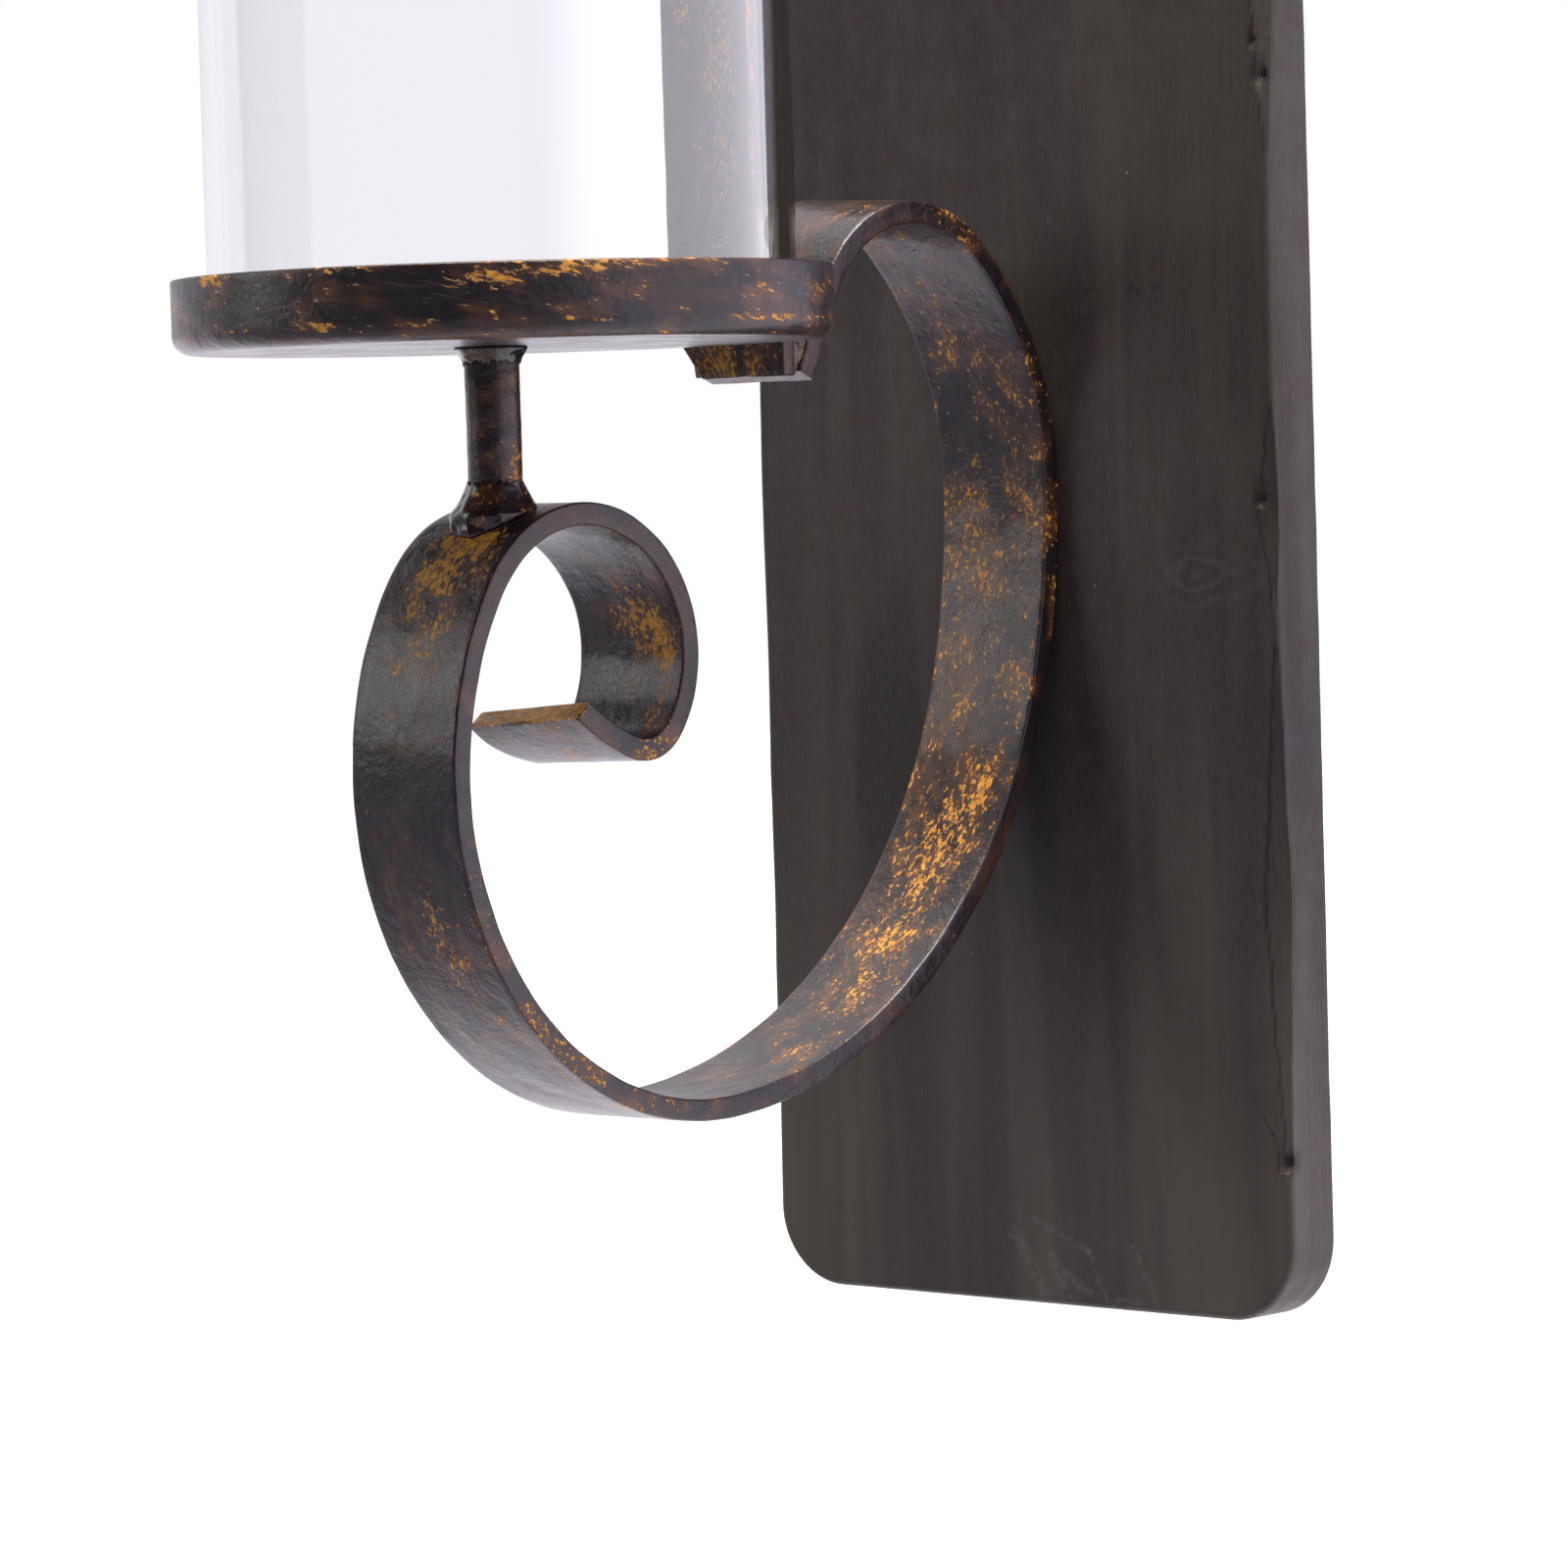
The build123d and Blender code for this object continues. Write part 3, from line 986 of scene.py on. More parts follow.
@dataclass
class Bar:
    """A flat bar bent in the side view along tangent arcs.

    Attributes:
        width: Across the sconce, mm.
        thickness: In the side view, mm.
        edge: Radius of its long edges, mm.
    """

    width: float
    thickness: float
    edge: float = 0.5

    def section(self) -> tuple[np.ndarray, np.ndarray]:
        """The bar's cross-section.

        Returns:
            Rows of (across, off the centre line), and the Side of each.
        """
        outline = round_outline(self.width / 2, self.thickness / 2, self.edge, 1.0)
        across, off = outline[:, 0], outline[:, 1]
        flat = np.abs(across) < self.width / 2 - self.edge * 0.5
        sides = np.where(flat, np.sign(off), Side.EDGE.value)
        return outline[:, :2], sides.astype(int)

    def sweep(
        self,
        path: np.ndarray,
        patches: Iterable[Rub],
        shape: Callable[[np.ndarray, np.ndarray], np.ndarray] | None = None,
        seed: float = 0.0,
    ) -> Lattice:
        """Carries the section along a path in the side view.

        Args:
            path: Rows of (along, y, z, heading in radians), mm.
            patches: Where its paint is rubbed.
            shape: Extra (x, y, z) from arrays of along and across, mm.
            seed: Shifts the bar's small unevenness.

        Returns:
            The lattice, with both ends capped.
        """
        section, sides = self.section()
        along, y, z, heading = (path[:, k : k + 1] for k in range(4))
        across, off = section[:, 0], section[:, 1]
        swell = np.array([wander(float(s), 0, 0, 22.0, seed) for s in along])[:, None]
        thin = np.array([wander(float(s), 9.0, 0, 9.0, seed) for s in along])[:, None]
        wide = across * (1.0 + 0.006 * swell) + 0.10 * thin * np.sign(across)
        normal_y, normal_z = -np.sin(heading), np.cos(heading)
        rows = np.broadcast_to(along, wide.shape)
        dents = wander_over(np.stack([rows, wide, np.broadcast_to(off * 3.0, wide.shape)], -1), 5.5, seed)
        lift = off * (1.0 + 0.035 * swell) + 0.10 * dents * np.sign(off)
        places = np.stack([wide, y + normal_y * lift, z + normal_z * lift], axis=-1)
        if shape is not None:
            places = places + shape(rows, wide)
        flat = np.stack([rows, np.broadcast_to(across, rows.shape), np.broadcast_to(off, rows.shape)], -1)
        skin = np.concatenate([flat, flat[:, :1]], axis=1)
        wear = rubbed(patches, along, across, np.broadcast_to(sides, rows.shape))
        lattice = Lattice(places, skin, wear)
        return self.blunted(lattice)

    def blunted(self, lattice: Lattice) -> Lattice:
        """Adds a slightly smaller ring at both ends, so that the cut ends have soft edges.

        Args:
            lattice: The bar.

        Returns:
            The bar with one ring more at both ends.
        """
        rings = []
        for end, inner in ((0, 1), (-1, -2)):
            ring = lattice.places[end]
            middle = ring.mean(axis=0)
            out = ring - lattice.places[inner]
            step = out.mean(axis=0) / np.linalg.norm(out.mean(axis=0))
            away = middle - ring
            shrink = away / np.maximum(np.linalg.norm(away, axis=1, keepdims=True), 0.1)
            rings.append(ring + 0.30 * shrink + 0.25 * step)
        places = np.concatenate([rings[0][None], lattice.places, rings[1][None]])
        skin = np.concatenate([lattice.skin[:1], lattice.skin, lattice.skin[-1:]])
        wear = np.concatenate([lattice.wear[:1], lattice.wear, lattice.wear[-1:]])
        return Lattice(places, skin, wear)


def arc_path(
    start: tuple[float, float],
    heading: float,
    arcs: Iterable[tuple[float, float]],
    side: int,
    straight: float = 0.0,
    step: float = 0.8,
) -> np.ndarray:
    """Walks tangent arcs in the side view.

    Args:
        start: First (y, z), mm.
        heading: First heading, degrees from +Y towards +Z.
        arcs: (radius, turn in degrees) of each arc.
        side: 1 turns to the left of the heading and -1 to the right.
        straight: Length of a straight run at the end, mm.
        step: Distance between points, mm.

    Returns:
        Rows of (distance walked, y, z, heading in radians).
    """
    walked, y, z, angle = 0.0, start[0], start[1], radians(heading)
    rows = [(walked, y, z, angle)]
    for radius, turn in arcs:
        run = radius * radians(turn)
        centre_y, centre_z = y - side * radius * sin(angle), z + side * radius * cos(angle)
        steps = max(4, round(run / step))
        for k in range(1, steps + 1):
            now = angle + side * radians(turn) * k / steps
            there = (centre_y + side * radius * sin(now), centre_z - side * radius * cos(now))
            rows.append((walked + run * k / steps, *there, now))
        walked, y, z, angle = rows[-1]
    steps = round(straight / step)
    for k in range(1, steps + 1):
        ahead = straight * k / steps
        rows.append((walked + ahead, y + ahead * cos(angle), z + ahead * sin(angle), angle))
    return np.array(rows)


# ---------------------------------------------------------------- the sub-assemblies


def place(piece: Piece, body: Body, slot: Slot, material: Material, *nodes: str) -> Piece:
    """Dresses a piece, tells the frame what it stands for and reports it.

    Args:
        piece: The piece.
        body: The body that it rides on.
        slot: The record's slot of its finish; not used.
        material: Its material.
        nodes: CAD nodes that it replaces.

    Returns:
        The same piece.
    """
    piece.data.materials.clear()
    piece.data.materials.append(material)
    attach(piece, body.value)
    if nodes:
        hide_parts(*nodes)
    log.info("%s: %d faces on %s", piece.name, len(piece.data.polygons), body.value)
    return piece


def keep(node: str, material: Material) -> None:
    """Gives a CAD node that stays in sight its finish.

    Args:
        node: The CAD node.
        material: Its material.
    """
    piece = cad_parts[node]
    piece.data.materials.clear()
    piece.data.materials.append(material)
    log.info("%s: kept from the frame", node)


@dataclass
class BackPlate:
    """The wooden board, with a worn chamfer and nicks along its right front edge.

    Attributes:
        corner: Radius of its corners, mm.
        edge: Radius of its long edges, mm.
        hole_gap: Gap round a stud, mm.
        bore_room: Room round a washer in its counterbore, mm.
        chamfers: Worn stretches of the right front edge, as (lowest z, highest z, width at the
            lowest, width in the middle, width at the highest, depth), mm.
        nicks: Dents along that edge, as (z, in from the edge, radius, depth), mm.
        low: Lowest corner of the CAD board, mm.
        high: Its highest corner, mm.
        thickness: Its thickness, mm.
    """

    corner: float = 15.0
    edge: float = 1.2
    hole_gap: float = 0.3
    bore_room: float = 2.0
    chamfers: tuple[tuple[float, float, float, float, float, float], ...] = (
        (6.0, 72.0, 0.3, 3.2, 4.4, 4.2),
        (74.0, 150.0, 1.5, 3.0, 0.5, 1.4),
        (-76.0, -30.0, 0.3, 4.2, 0.3, 1.4),
        (-174.0, -76.0, 1.2, 4.8, 0.8, 2.4),
    )
    nicks: tuple[tuple[float, float, float, float], ...] = (
        (25.0, 1.2, 2.0, 1.6),
        (31.6, 2.6, 1.2, 0.8),
        (-51.6, 3.3, 1.6, 1.2),
        (-173.0, 1.0, 2.2, 1.2),
        (118.0, 1.0, 2.0, 0.6),
    )
    low: np.ndarray = field(init=False)
    high: np.ndarray = field(init=False)
    thickness: float = field(init=False)

    def rounds(self) -> list[tuple[float, float]]:
        """Loops from the middle of the front over the edge to the middle of the rear.

        Returns:
            Pairs of (inset from the outline, depth behind the front face), mm.
        """
        thick = self.thickness
        insets = [14.0, 11.0, 9.5, 8.4, 7.6, 6.8, 6.1, 5.5, 4.9, 4.3, 3.8, 3.3, 2.8, 2.4, 2.0, 1.6]
        loops = [(inset, 0.0) for inset in insets]
        bends = 5
        for k in range(bends + 1):
            angle = pi / 2 * k / bends
            loops.append((self.edge * (1 - sin(angle)), self.edge * (1 - cos(angle))))
        loops += [(0.0, self.edge + d) for d in (0.5, 1.0, 1.6, 2.4, 3.4, 4.6, 6.0, 7.6, 9.2, 10.4)]
        loops += [(0.0, thick - 0.4), (0.15, thick - 0.1), (0.4, thick), (2.0, thick), (8.0, thick)]
        return loops

    def worn(self, places: np.ndarray) -> np.ndarray:
        """Planes the worn chamfers off the right front edge and presses in the nicks.

        Args:
            places: Points of the board, mm.

        Returns:
            The points, moved.
        """
        x, y, z = places[..., 0].copy(), places[..., 1].copy(), places[..., 2]
        half = self.high[0]
        for low, high, w_low, w_mid, w_high, depth in self.chamfers:
            share = (z - low) / (high - low)
            width = np.interp(share, (0.0, 0.5, 1.0), (w_low, w_mid, w_high))
            width = width + 0.35 * wander_over(places, 7.0, low)
            deep = depth * np.clip(width / max(w_low, w_mid, w_high), 0.05, 1.0)
            slope = deep / np.maximum(width, 0.05)
            floor = self.low[1] + (x - (half - width)) * slope
            inside = (share >= 0.0) & (share <= 1.0) & (width > 0.05)
            y = np.where(inside & (y < floor), floor, y)
        for height, inset, radius, depth in self.nicks:
            gap = np.sqrt((x - (half - inset)) ** 2 + ((z - height) * 0.75) ** 2 + (y - self.low[1]) ** 2)
            y = y + depth * (1.0 - smooth_step(gap, 0.15 * radius, radius))
        return np.stack([x, y, z], axis=-1)

    def painted_shade(self, flat: np.ndarray, places: np.ndarray) -> np.ndarray:
        """Painted shade in the nicks and along the borders of the worn chamfers, 0 to 1.

        Args:
            flat: Points of the unworn board, mm.
            places: The same points when worn, mm.

        Returns:
            The painted shade at each point.
        """
        x, z = flat[..., 0], flat[..., 2]
        half = float(self.high[0])
        crease_shade = np.zeros(x.shape)
        for height, inset, radius, _ in self.nicks:
            gap = np.hypot(x - (half - inset), z - height)
            crease_shade = np.maximum(crease_shade, 1.0 - smooth_step(gap, 0.2 * radius, 0.9 * radius))
        crease_shade = crease_shade * (flat[..., 1] < self.low[1] + 3.5)
        cut = np.linalg.norm(places - flat, axis=-1) > 0.06
        border = cut ^ np.roll(cut, 1, axis=0)
        return np.maximum(crease_shade, 0.75 * border * (x > 0.8 * half))

    def build(self, material: Material) -> None:
        """Makes the board, cuts its holes and places it.

        Args:
            material: Its material.
        """
        self.low, self.high = box_mm("back_plate")
        self.thickness = float(self.high[1] - self.low[1])
        half_width, half_height = float(self.high[0]), float(self.high[2])
        outline = round_outline(half_width, half_height, self.corner, 1.6)
        rows = []
        for inset, depth in self.rounds():
            xz = outline[:, :2] - outline[:, 2:] * inset
            row = np.stack([xz[:, 0], np.full(len(xz), self.low[1] + depth), xz[:, 1]], axis=-1)
            rows.append(row)
        places = np.array(rows)
        flat = places.copy()
        sway = wander_over(places * np.array([1.0, 0.2, 1.0]), 34.0, 3.0)
        ripple = wander_over(places * np.array([1.0, 0.5, 1.0]), 9.0, 5.0)
        near = smooth_step(np.abs(places[..., 0]), half_width - 16.0, half_width - 1.0)
        loose = np.where(places[..., 0] < 0.0, 0.50, 0.10)
        places[..., 0] += (loose * sway + 0.09 * ripple) * near * np.sign(places[..., 0])
        whole = places.copy()
        places = self.worn(places)
        skin = np.concatenate([flat, flat[:, :1]], axis=1)
        # The board's wear attribute carries its painted shade, not wear.
        board = Lattice(places, skin, self.painted_shade(whole, places)).build("board", crease=24.0)
        self.cut(board)
        place(board, Body.BRACKET, Slot.WOOD, material, "back_plate")

    def cut(self, board: Piece) -> None:
        """Cuts the stud holes, the counterbores, the hanger's rebate and its pocket.

        Args:
            board: The board.
        """
        cutters = []
        washer_low, washer_high = box_mm("stud_washers")
        stud_low, stud_high = box_mm("bracket_studs")
        stud = (stud_high[0] - stud_low[0]) / 2
        bore = (washer_high[0] - washer_low[0]) / 2 + self.bore_room
        for height in (stud_low[2] + stud, stud_high[2] - stud):
            cutters.append(self.drill(0.0, height, bore, washer_low[1], 2.0))
            cutters.append(self.drill(0.0, height, stud + self.hole_gap, -self.thickness - 2.0, 1.0))
        hanger_low, hanger_high = box_mm("keyhole_hanger")
        gap = 0.15
        middle = (hanger_low[2] + hanger_high[2]) / 2
        half_x, half_z = hanger_high[0] + gap, (hanger_high[2] - hanger_low[2]) / 2 + gap
        cutters.append(self.slab(middle, half_x, half_z, 3.15, hanger_low[1]))
        cutters.append(self.slab(middle - 0.7, 6.3, 11.0, 6.25, -7.6))
        for cutter in cutters:
            cut = board.modifiers.new("cut", "BOOLEAN")
            cut.operation = "DIFFERENCE"
            cut.solver = "EXACT"
            cut.object = cutter
        with_modifiers(board)
        for cutter in cutters:
            bpy.data.objects.remove(cutter)
        board.data.shade_smooth()
        board.data.set_sharp_from_angle(angle=radians(24.0))

    def drill(self, x: float, z: float, radius: float, deep: float, out: float) -> Piece:
        """A round cutter along Y from deep to out."""
        return self.slab(z, radius, radius, radius - 0.001, deep, out, x)

    def slab(
        self, z: float, half_x: float, half_z: float, corner: float, deep: float,
        out: float = 2.0, x: float = 0.0,
    ) -> Piece:
        """A cutter with a rounded outline.

        Args:
            z: Its middle height, mm.
            half_x: Half of its width, mm.
            half_z: Half of its height, mm.
            corner: Corner radius, mm.
            deep: The y that it reaches into the board, mm.
            out: The y outside the board, mm.
            x: Its middle across the board, mm.

        Returns:
            The cutter.
        """
        outline = round_outline(half_x, half_z, corner, 1.0)
        rings = [
            np.stack([outline[:, 0] + x, np.full(len(outline), y), outline[:, 1] + z], axis=-1)
            for y in (deep, out)
        ]
        places = np.array(rings)
        skin = np.concatenate([places, places[:, :1]], axis=1)
        return Lattice(places, skin).build("cutter")


@dataclass
class ScrollBracket:
    """The scroll, bent from one flat bar.

    Attributes:
        bar: Its section.
        contact: Height where it touches the board, mm.
        down: Arcs from there to the curl's end.
        up: Arcs from there to the leg behind the tray.
        leg: Length of that leg, mm.
        end_drop: How far the curl's far corner hangs below the near one, mm.
        arch_lift: How far the arch's far edge stands above the near one, mm.
    """

    bar: Bar = field(default_factory=lambda: Bar(25.4, 4.0))
    contact: float = -47.4
    down: tuple[tuple[float, float], ...] = (
        (148.0, 14.2), (96.5, 71.0), (61.0, 127.0), (26.0, 113.0), (23.0, 70.0), (9.0, 74.5), (42.0, 20.0),
    )
    up: tuple[tuple[float, float], ...] = ((57.5, 48.5), (26.0, 106.5))
    leg: float = 15.8
    end_drop: float = 2.2
    arch_lift: float = 1.6
    patches: tuple[Rub, ...] = (
        # round the foot of the post and down the front of the curl
        Rub(Side.OUTER, 316.0, 0.0, 12.0, 14.0, 1.0),
        Rub(Side.OUTER, 302.0, 1.0, 10.0, 11.0, 0.98),
        Rub(Side.OUTER, 294.0, 0.0, 9.0, 9.5, 0.86),
        Rub(Side.OUTER, 283.0, 1.0, 9.0, 8.0, 0.60),
        Rub(Side.OUTER, 286.0, -2.8, 3.6, 3.4, 1.0),
        Rub(Side.OUTER, 277.0, -3.6, 4.5, 2.0, 0.82),
        Rub(Side.OUTER, 270.0, -3.4, 3.0, 1.4, 0.60),
        Rub(Side.OUTER, 284.0, 6.5, 6.0, 2.2, 0.58),
        Rub(Side.OUTER, 296.0, 10.0, 9.0, 2.6, 0.62),
        # lower down the front
        Rub(Side.OUTER, 234.0, 2.5, 9.0, 4.0, 0.62),
        Rub(Side.OUTER, 222.0, 3.5, 9.0, 4.0, 0.64),
        Rub(Side.OUTER, 212.0, 6.5, 7.0, 3.4, 0.58),
        Rub(Side.OUTER, 238.0, 11.5, 12.0, 1.4, 0.52),
        Rub(Side.OUTER, 200.0, 9.5, 13.0, 3.0, 0.54),
        Rub(Side.OUTER, 188.0, 11.0, 12.0, 2.2, 0.54),
        Rub(Side.OUTER, 256.0, -10.0, 8.0, 4.0, 0.36),
        Rub(Side.EDGE, 205.0, 12.7, 22.0, 2.0, 0.55),
        Rub(Side.EDGE, 177.0, 12.7, 12.0, 2.0, 0.48),
        Rub(Side.EDGE, 238.0, 12.7, 10.0, 2.0, 0.42),
        # inside the big bend
        Rub(Side.INNER, 72.0, 0.0, 22.0, 10.5, 0.72),
        Rub(Side.INNER, 62.0, 5.0, 14.0, 6.0, 0.72),
        Rub(Side.INNER, 92.0, 0.0, 18.0, 11.0, 0.64),
        Rub(Side.INNER, 30.0, 0.0, 130.0, 40.0, 0.43),
        Rub(Side.INNER, 110.0, 3.0, 13.0, 9.0, 0.62),
        Rub(Side.INNER, 128.0, 5.0, 14.0, 8.0, 0.50),
        Rub(Side.INNER, 44.0, -4.0, 12.0, 5.0, 0.56),
        Rub(Side.INNER, 30.0, 4.0, 20.0, 6.0, 0.48),
        Rub(Side.INNER, 2.0, 2.0, 26.0, 8.0, 0.42),
        Rub(Side.INNER, 2.0, 8.5, 8.0, 2.5, 0.58),
        Rub(Side.INNER, -28.0, 2.0, 20.0, 8.0, 0.34),
        # inside the curl, and its end
        Rub(Side.INNER, 356.0, 7.5, 9.0, 4.5, 0.88),
        Rub(Side.INNER, 350.0, 3.0, 13.0, 8.0, 0.62),
        Rub(Side.INNER, 368.0, 9.0, 8.0, 3.0, 0.60),
        Rub(Side.OUTER, 389.0, 0.0, 9.0, 15.0, 0.46),
        Rub(Side.EDGE, 380.0, 12.7, 10.0, 2.0, 0.58),
        Rub(Side.OUTER, 352.0, 10.0, 14.0, 4.0, 0.40),
        # over the arch
        Rub(Side.EDGE, -56.0, 12.7, 10.0, 2.0, 0.50),
        Rub(Side.OUTER, -74.0, 6.0, 8.0, 7.0, 0.44),
        Rub(Side.EDGE, -20.0, 12.7, 14.0, 2.0, 0.40),
        Rub(Side.EDGE, 10.0, 12.7, 22.0, 2.0, 0.46),
        Rub(Side.EDGE, 350.0, -12.7, 30.0, 2.0, 0.50),
        Rub(Side.EDGE, 120.0, -12.7, 40.0, 2.0, 0.44),
    )

    def path(self) -> np.ndarray:
        """The bar's centre line from the curl's end to the leg's foot.

        Returns:
            Rows of (along, y, z, heading). Along is 0 where the bar touches the board, positive
            towards the curl and negative towards the leg.
        """
        start = (float(box_mm("back_plate")[0][1]) - self.bar.thickness / 2, self.contact)
        lower = arc_path(start, -90.0, self.down, -1)
        upper = arc_path(start, 90.0, self.up, 1, self.leg)
        lower = lower[::-1].copy()
        lower[:, 3] += pi
        upper[:, 0] *= -1.0
        return np.concatenate([lower, upper[1:]])

    def lean(self, along: np.ndarray, across: np.ndarray) -> np.ndarray:
        """The bar's small twists: the curl's end hangs down on the left, the arch stands up.

        Args:
            along: Place along the bar, mm.
            across: Place across it, mm.

        Returns:
            Extra (x, y, z) at each place, mm.
        """
        length = sum(radius * radians(turn) for radius, turn in self.down)
        far = (self.bar.width / 2 - across) / self.bar.width
        end = smooth_step(along, length - 26.0, length) * far
        arch = np.exp(-(((along + 66.0) / 17.0) ** 2)) * far
        drop = -self.end_drop * end + self.arch_lift * arch
        return np.stack([np.zeros_like(drop), -0.55 * self.end_drop * end, drop], axis=-1)

    def build(self, material: Material) -> None:
        """Makes the scroll and places it.

        Args:
            material: Its material.
        """
        path = self.path()
        lattice = self.bar.sweep(path, self.patches, self.lean, seed=2.0)
        lattice.wear[0] = 1.0
        lattice.wear[1] = 0.55
        self.slant(lattice, 0.22)
        place(lattice.build("scroll"), Body.BRACKET, Slot.METAL, material, "scroll_bracket")

    @staticmethod
    def slant(lattice: Lattice, slope: float) -> None:
        """Slants the cut at the curl's end.

        Args:
            lattice: The bar, with the curl's end first.
            slope: Slope of the cut.
        """
        middles = lattice.places[:4].mean(axis=1)
        ahead = middles[1] - middles[3]
        ahead /= np.linalg.norm(ahead)
        across = np.array([0.0, -ahead[2], ahead[1]])
        for row in range(3):
            off = (lattice.places[row] - middles[row]) @ across
            lattice.places[row] += slope * (1.0 - row / 3.0) * off[:, None] * ahead


@dataclass
class BackStrap:
    """The upright strap behind the glass, hooked back to the board.

    Attributes:
        bar: Its section.
        tail: Length of the run down the board, mm.
        clip_width: Width of the corner ground off its foot, mm.
        clip_height: Height of that corner, mm.
        patches: Where its paint is rubbed, measured up from its foot.
    """

    bar: Bar = field(default_factory=lambda: Bar(25.4, 3.2))
    tail: float = 24.0
    clip_width: float = 5.0
    clip_height: float = 6.4
    patches: tuple[Rub, ...] = (
        Rub(Side.INNER, 3.0, -1.0, 9.0, 14.0, 0.66),
        Rub(Side.OUTER, 4.0, 0.0, 12.0, 14.0, 0.55),
        Rub(Side.INNER, 50.0, 3.0, 40.0, 7.0, 0.62),
        Rub(Side.INNER, 75.0, -6.0, 16.0, 4.0, 0.80),
        Rub(Side.INNER, 120.0, -2.0, 40.0, 9.0, 0.60),
        Rub(Side.EDGE, 70.0, 12.7, 60.0, 3.0, 0.62),
        Rub(Side.INNER, 150.0, 8.0, 24.0, 4.0, 0.50),
        Rub(Side.INNER, 230.0, 0.0, 26.0, 10.0, 0.60),
        Rub(Side.OUTER, 215.0, 3.0, 22.0, 9.0, 0.52),
        Rub(Side.EDGE, 225.0, 12.7, 30.0, 3.0, 0.50),
        Rub(Side.OUTER, 100.0, 4.0, 50.0, 6.0, 0.42),
    )

    def build(self, material: Material) -> None:
        """Makes the strap and places it.

        Args:
            material: Its material.
        """
        low, high = box_mm("back_strap")
        plate_front = float(box_mm("back_plate")[0][1])
        middle = float(low[1]) + self.bar.thickness / 2
        radius = (plate_front - self.bar.thickness / 2 - middle) / 2
        spring = float(high[2]) - self.bar.thickness / 2 - radius
        foot = float(low[2])
        upright = spring - foot
        steps = round(upright / 1.0)
        rise = np.linspace(0.0, upright, steps + 1)
        straight = np.stack([rise, np.full_like(rise, middle), foot + rise, np.full_like(rise, pi / 2)], -1)
        hook = arc_path((middle, spring), 90.0, ((radius, 180.0),), -1, self.tail)
        hook[:, 0] += upright
        path = np.concatenate([straight, hook[1:]])
        lattice = self.bar.sweep(path, self.patches, self.clip, seed=7.0)
        place(lattice.build("strap"), Body.BRACKET, Slot.METAL, material, "back_strap")

    def clip(self, along: np.ndarray, across: np.ndarray) -> np.ndarray:
        """Draws the foot's left corner in.

        Args:
            along: Height above the foot, mm.
            across: Place across the bar, mm.

        Returns:
            Extra (x, y, z) at each place, mm.
        """
        cut = self.clip_width * np.clip(1.0 - along / self.clip_height, 0.0, 1.0)
        share = (self.bar.width / 2 - across) / self.bar.width
        return np.stack([cut * share, np.zeros_like(cut), np.zeros_like(cut)], axis=-1)


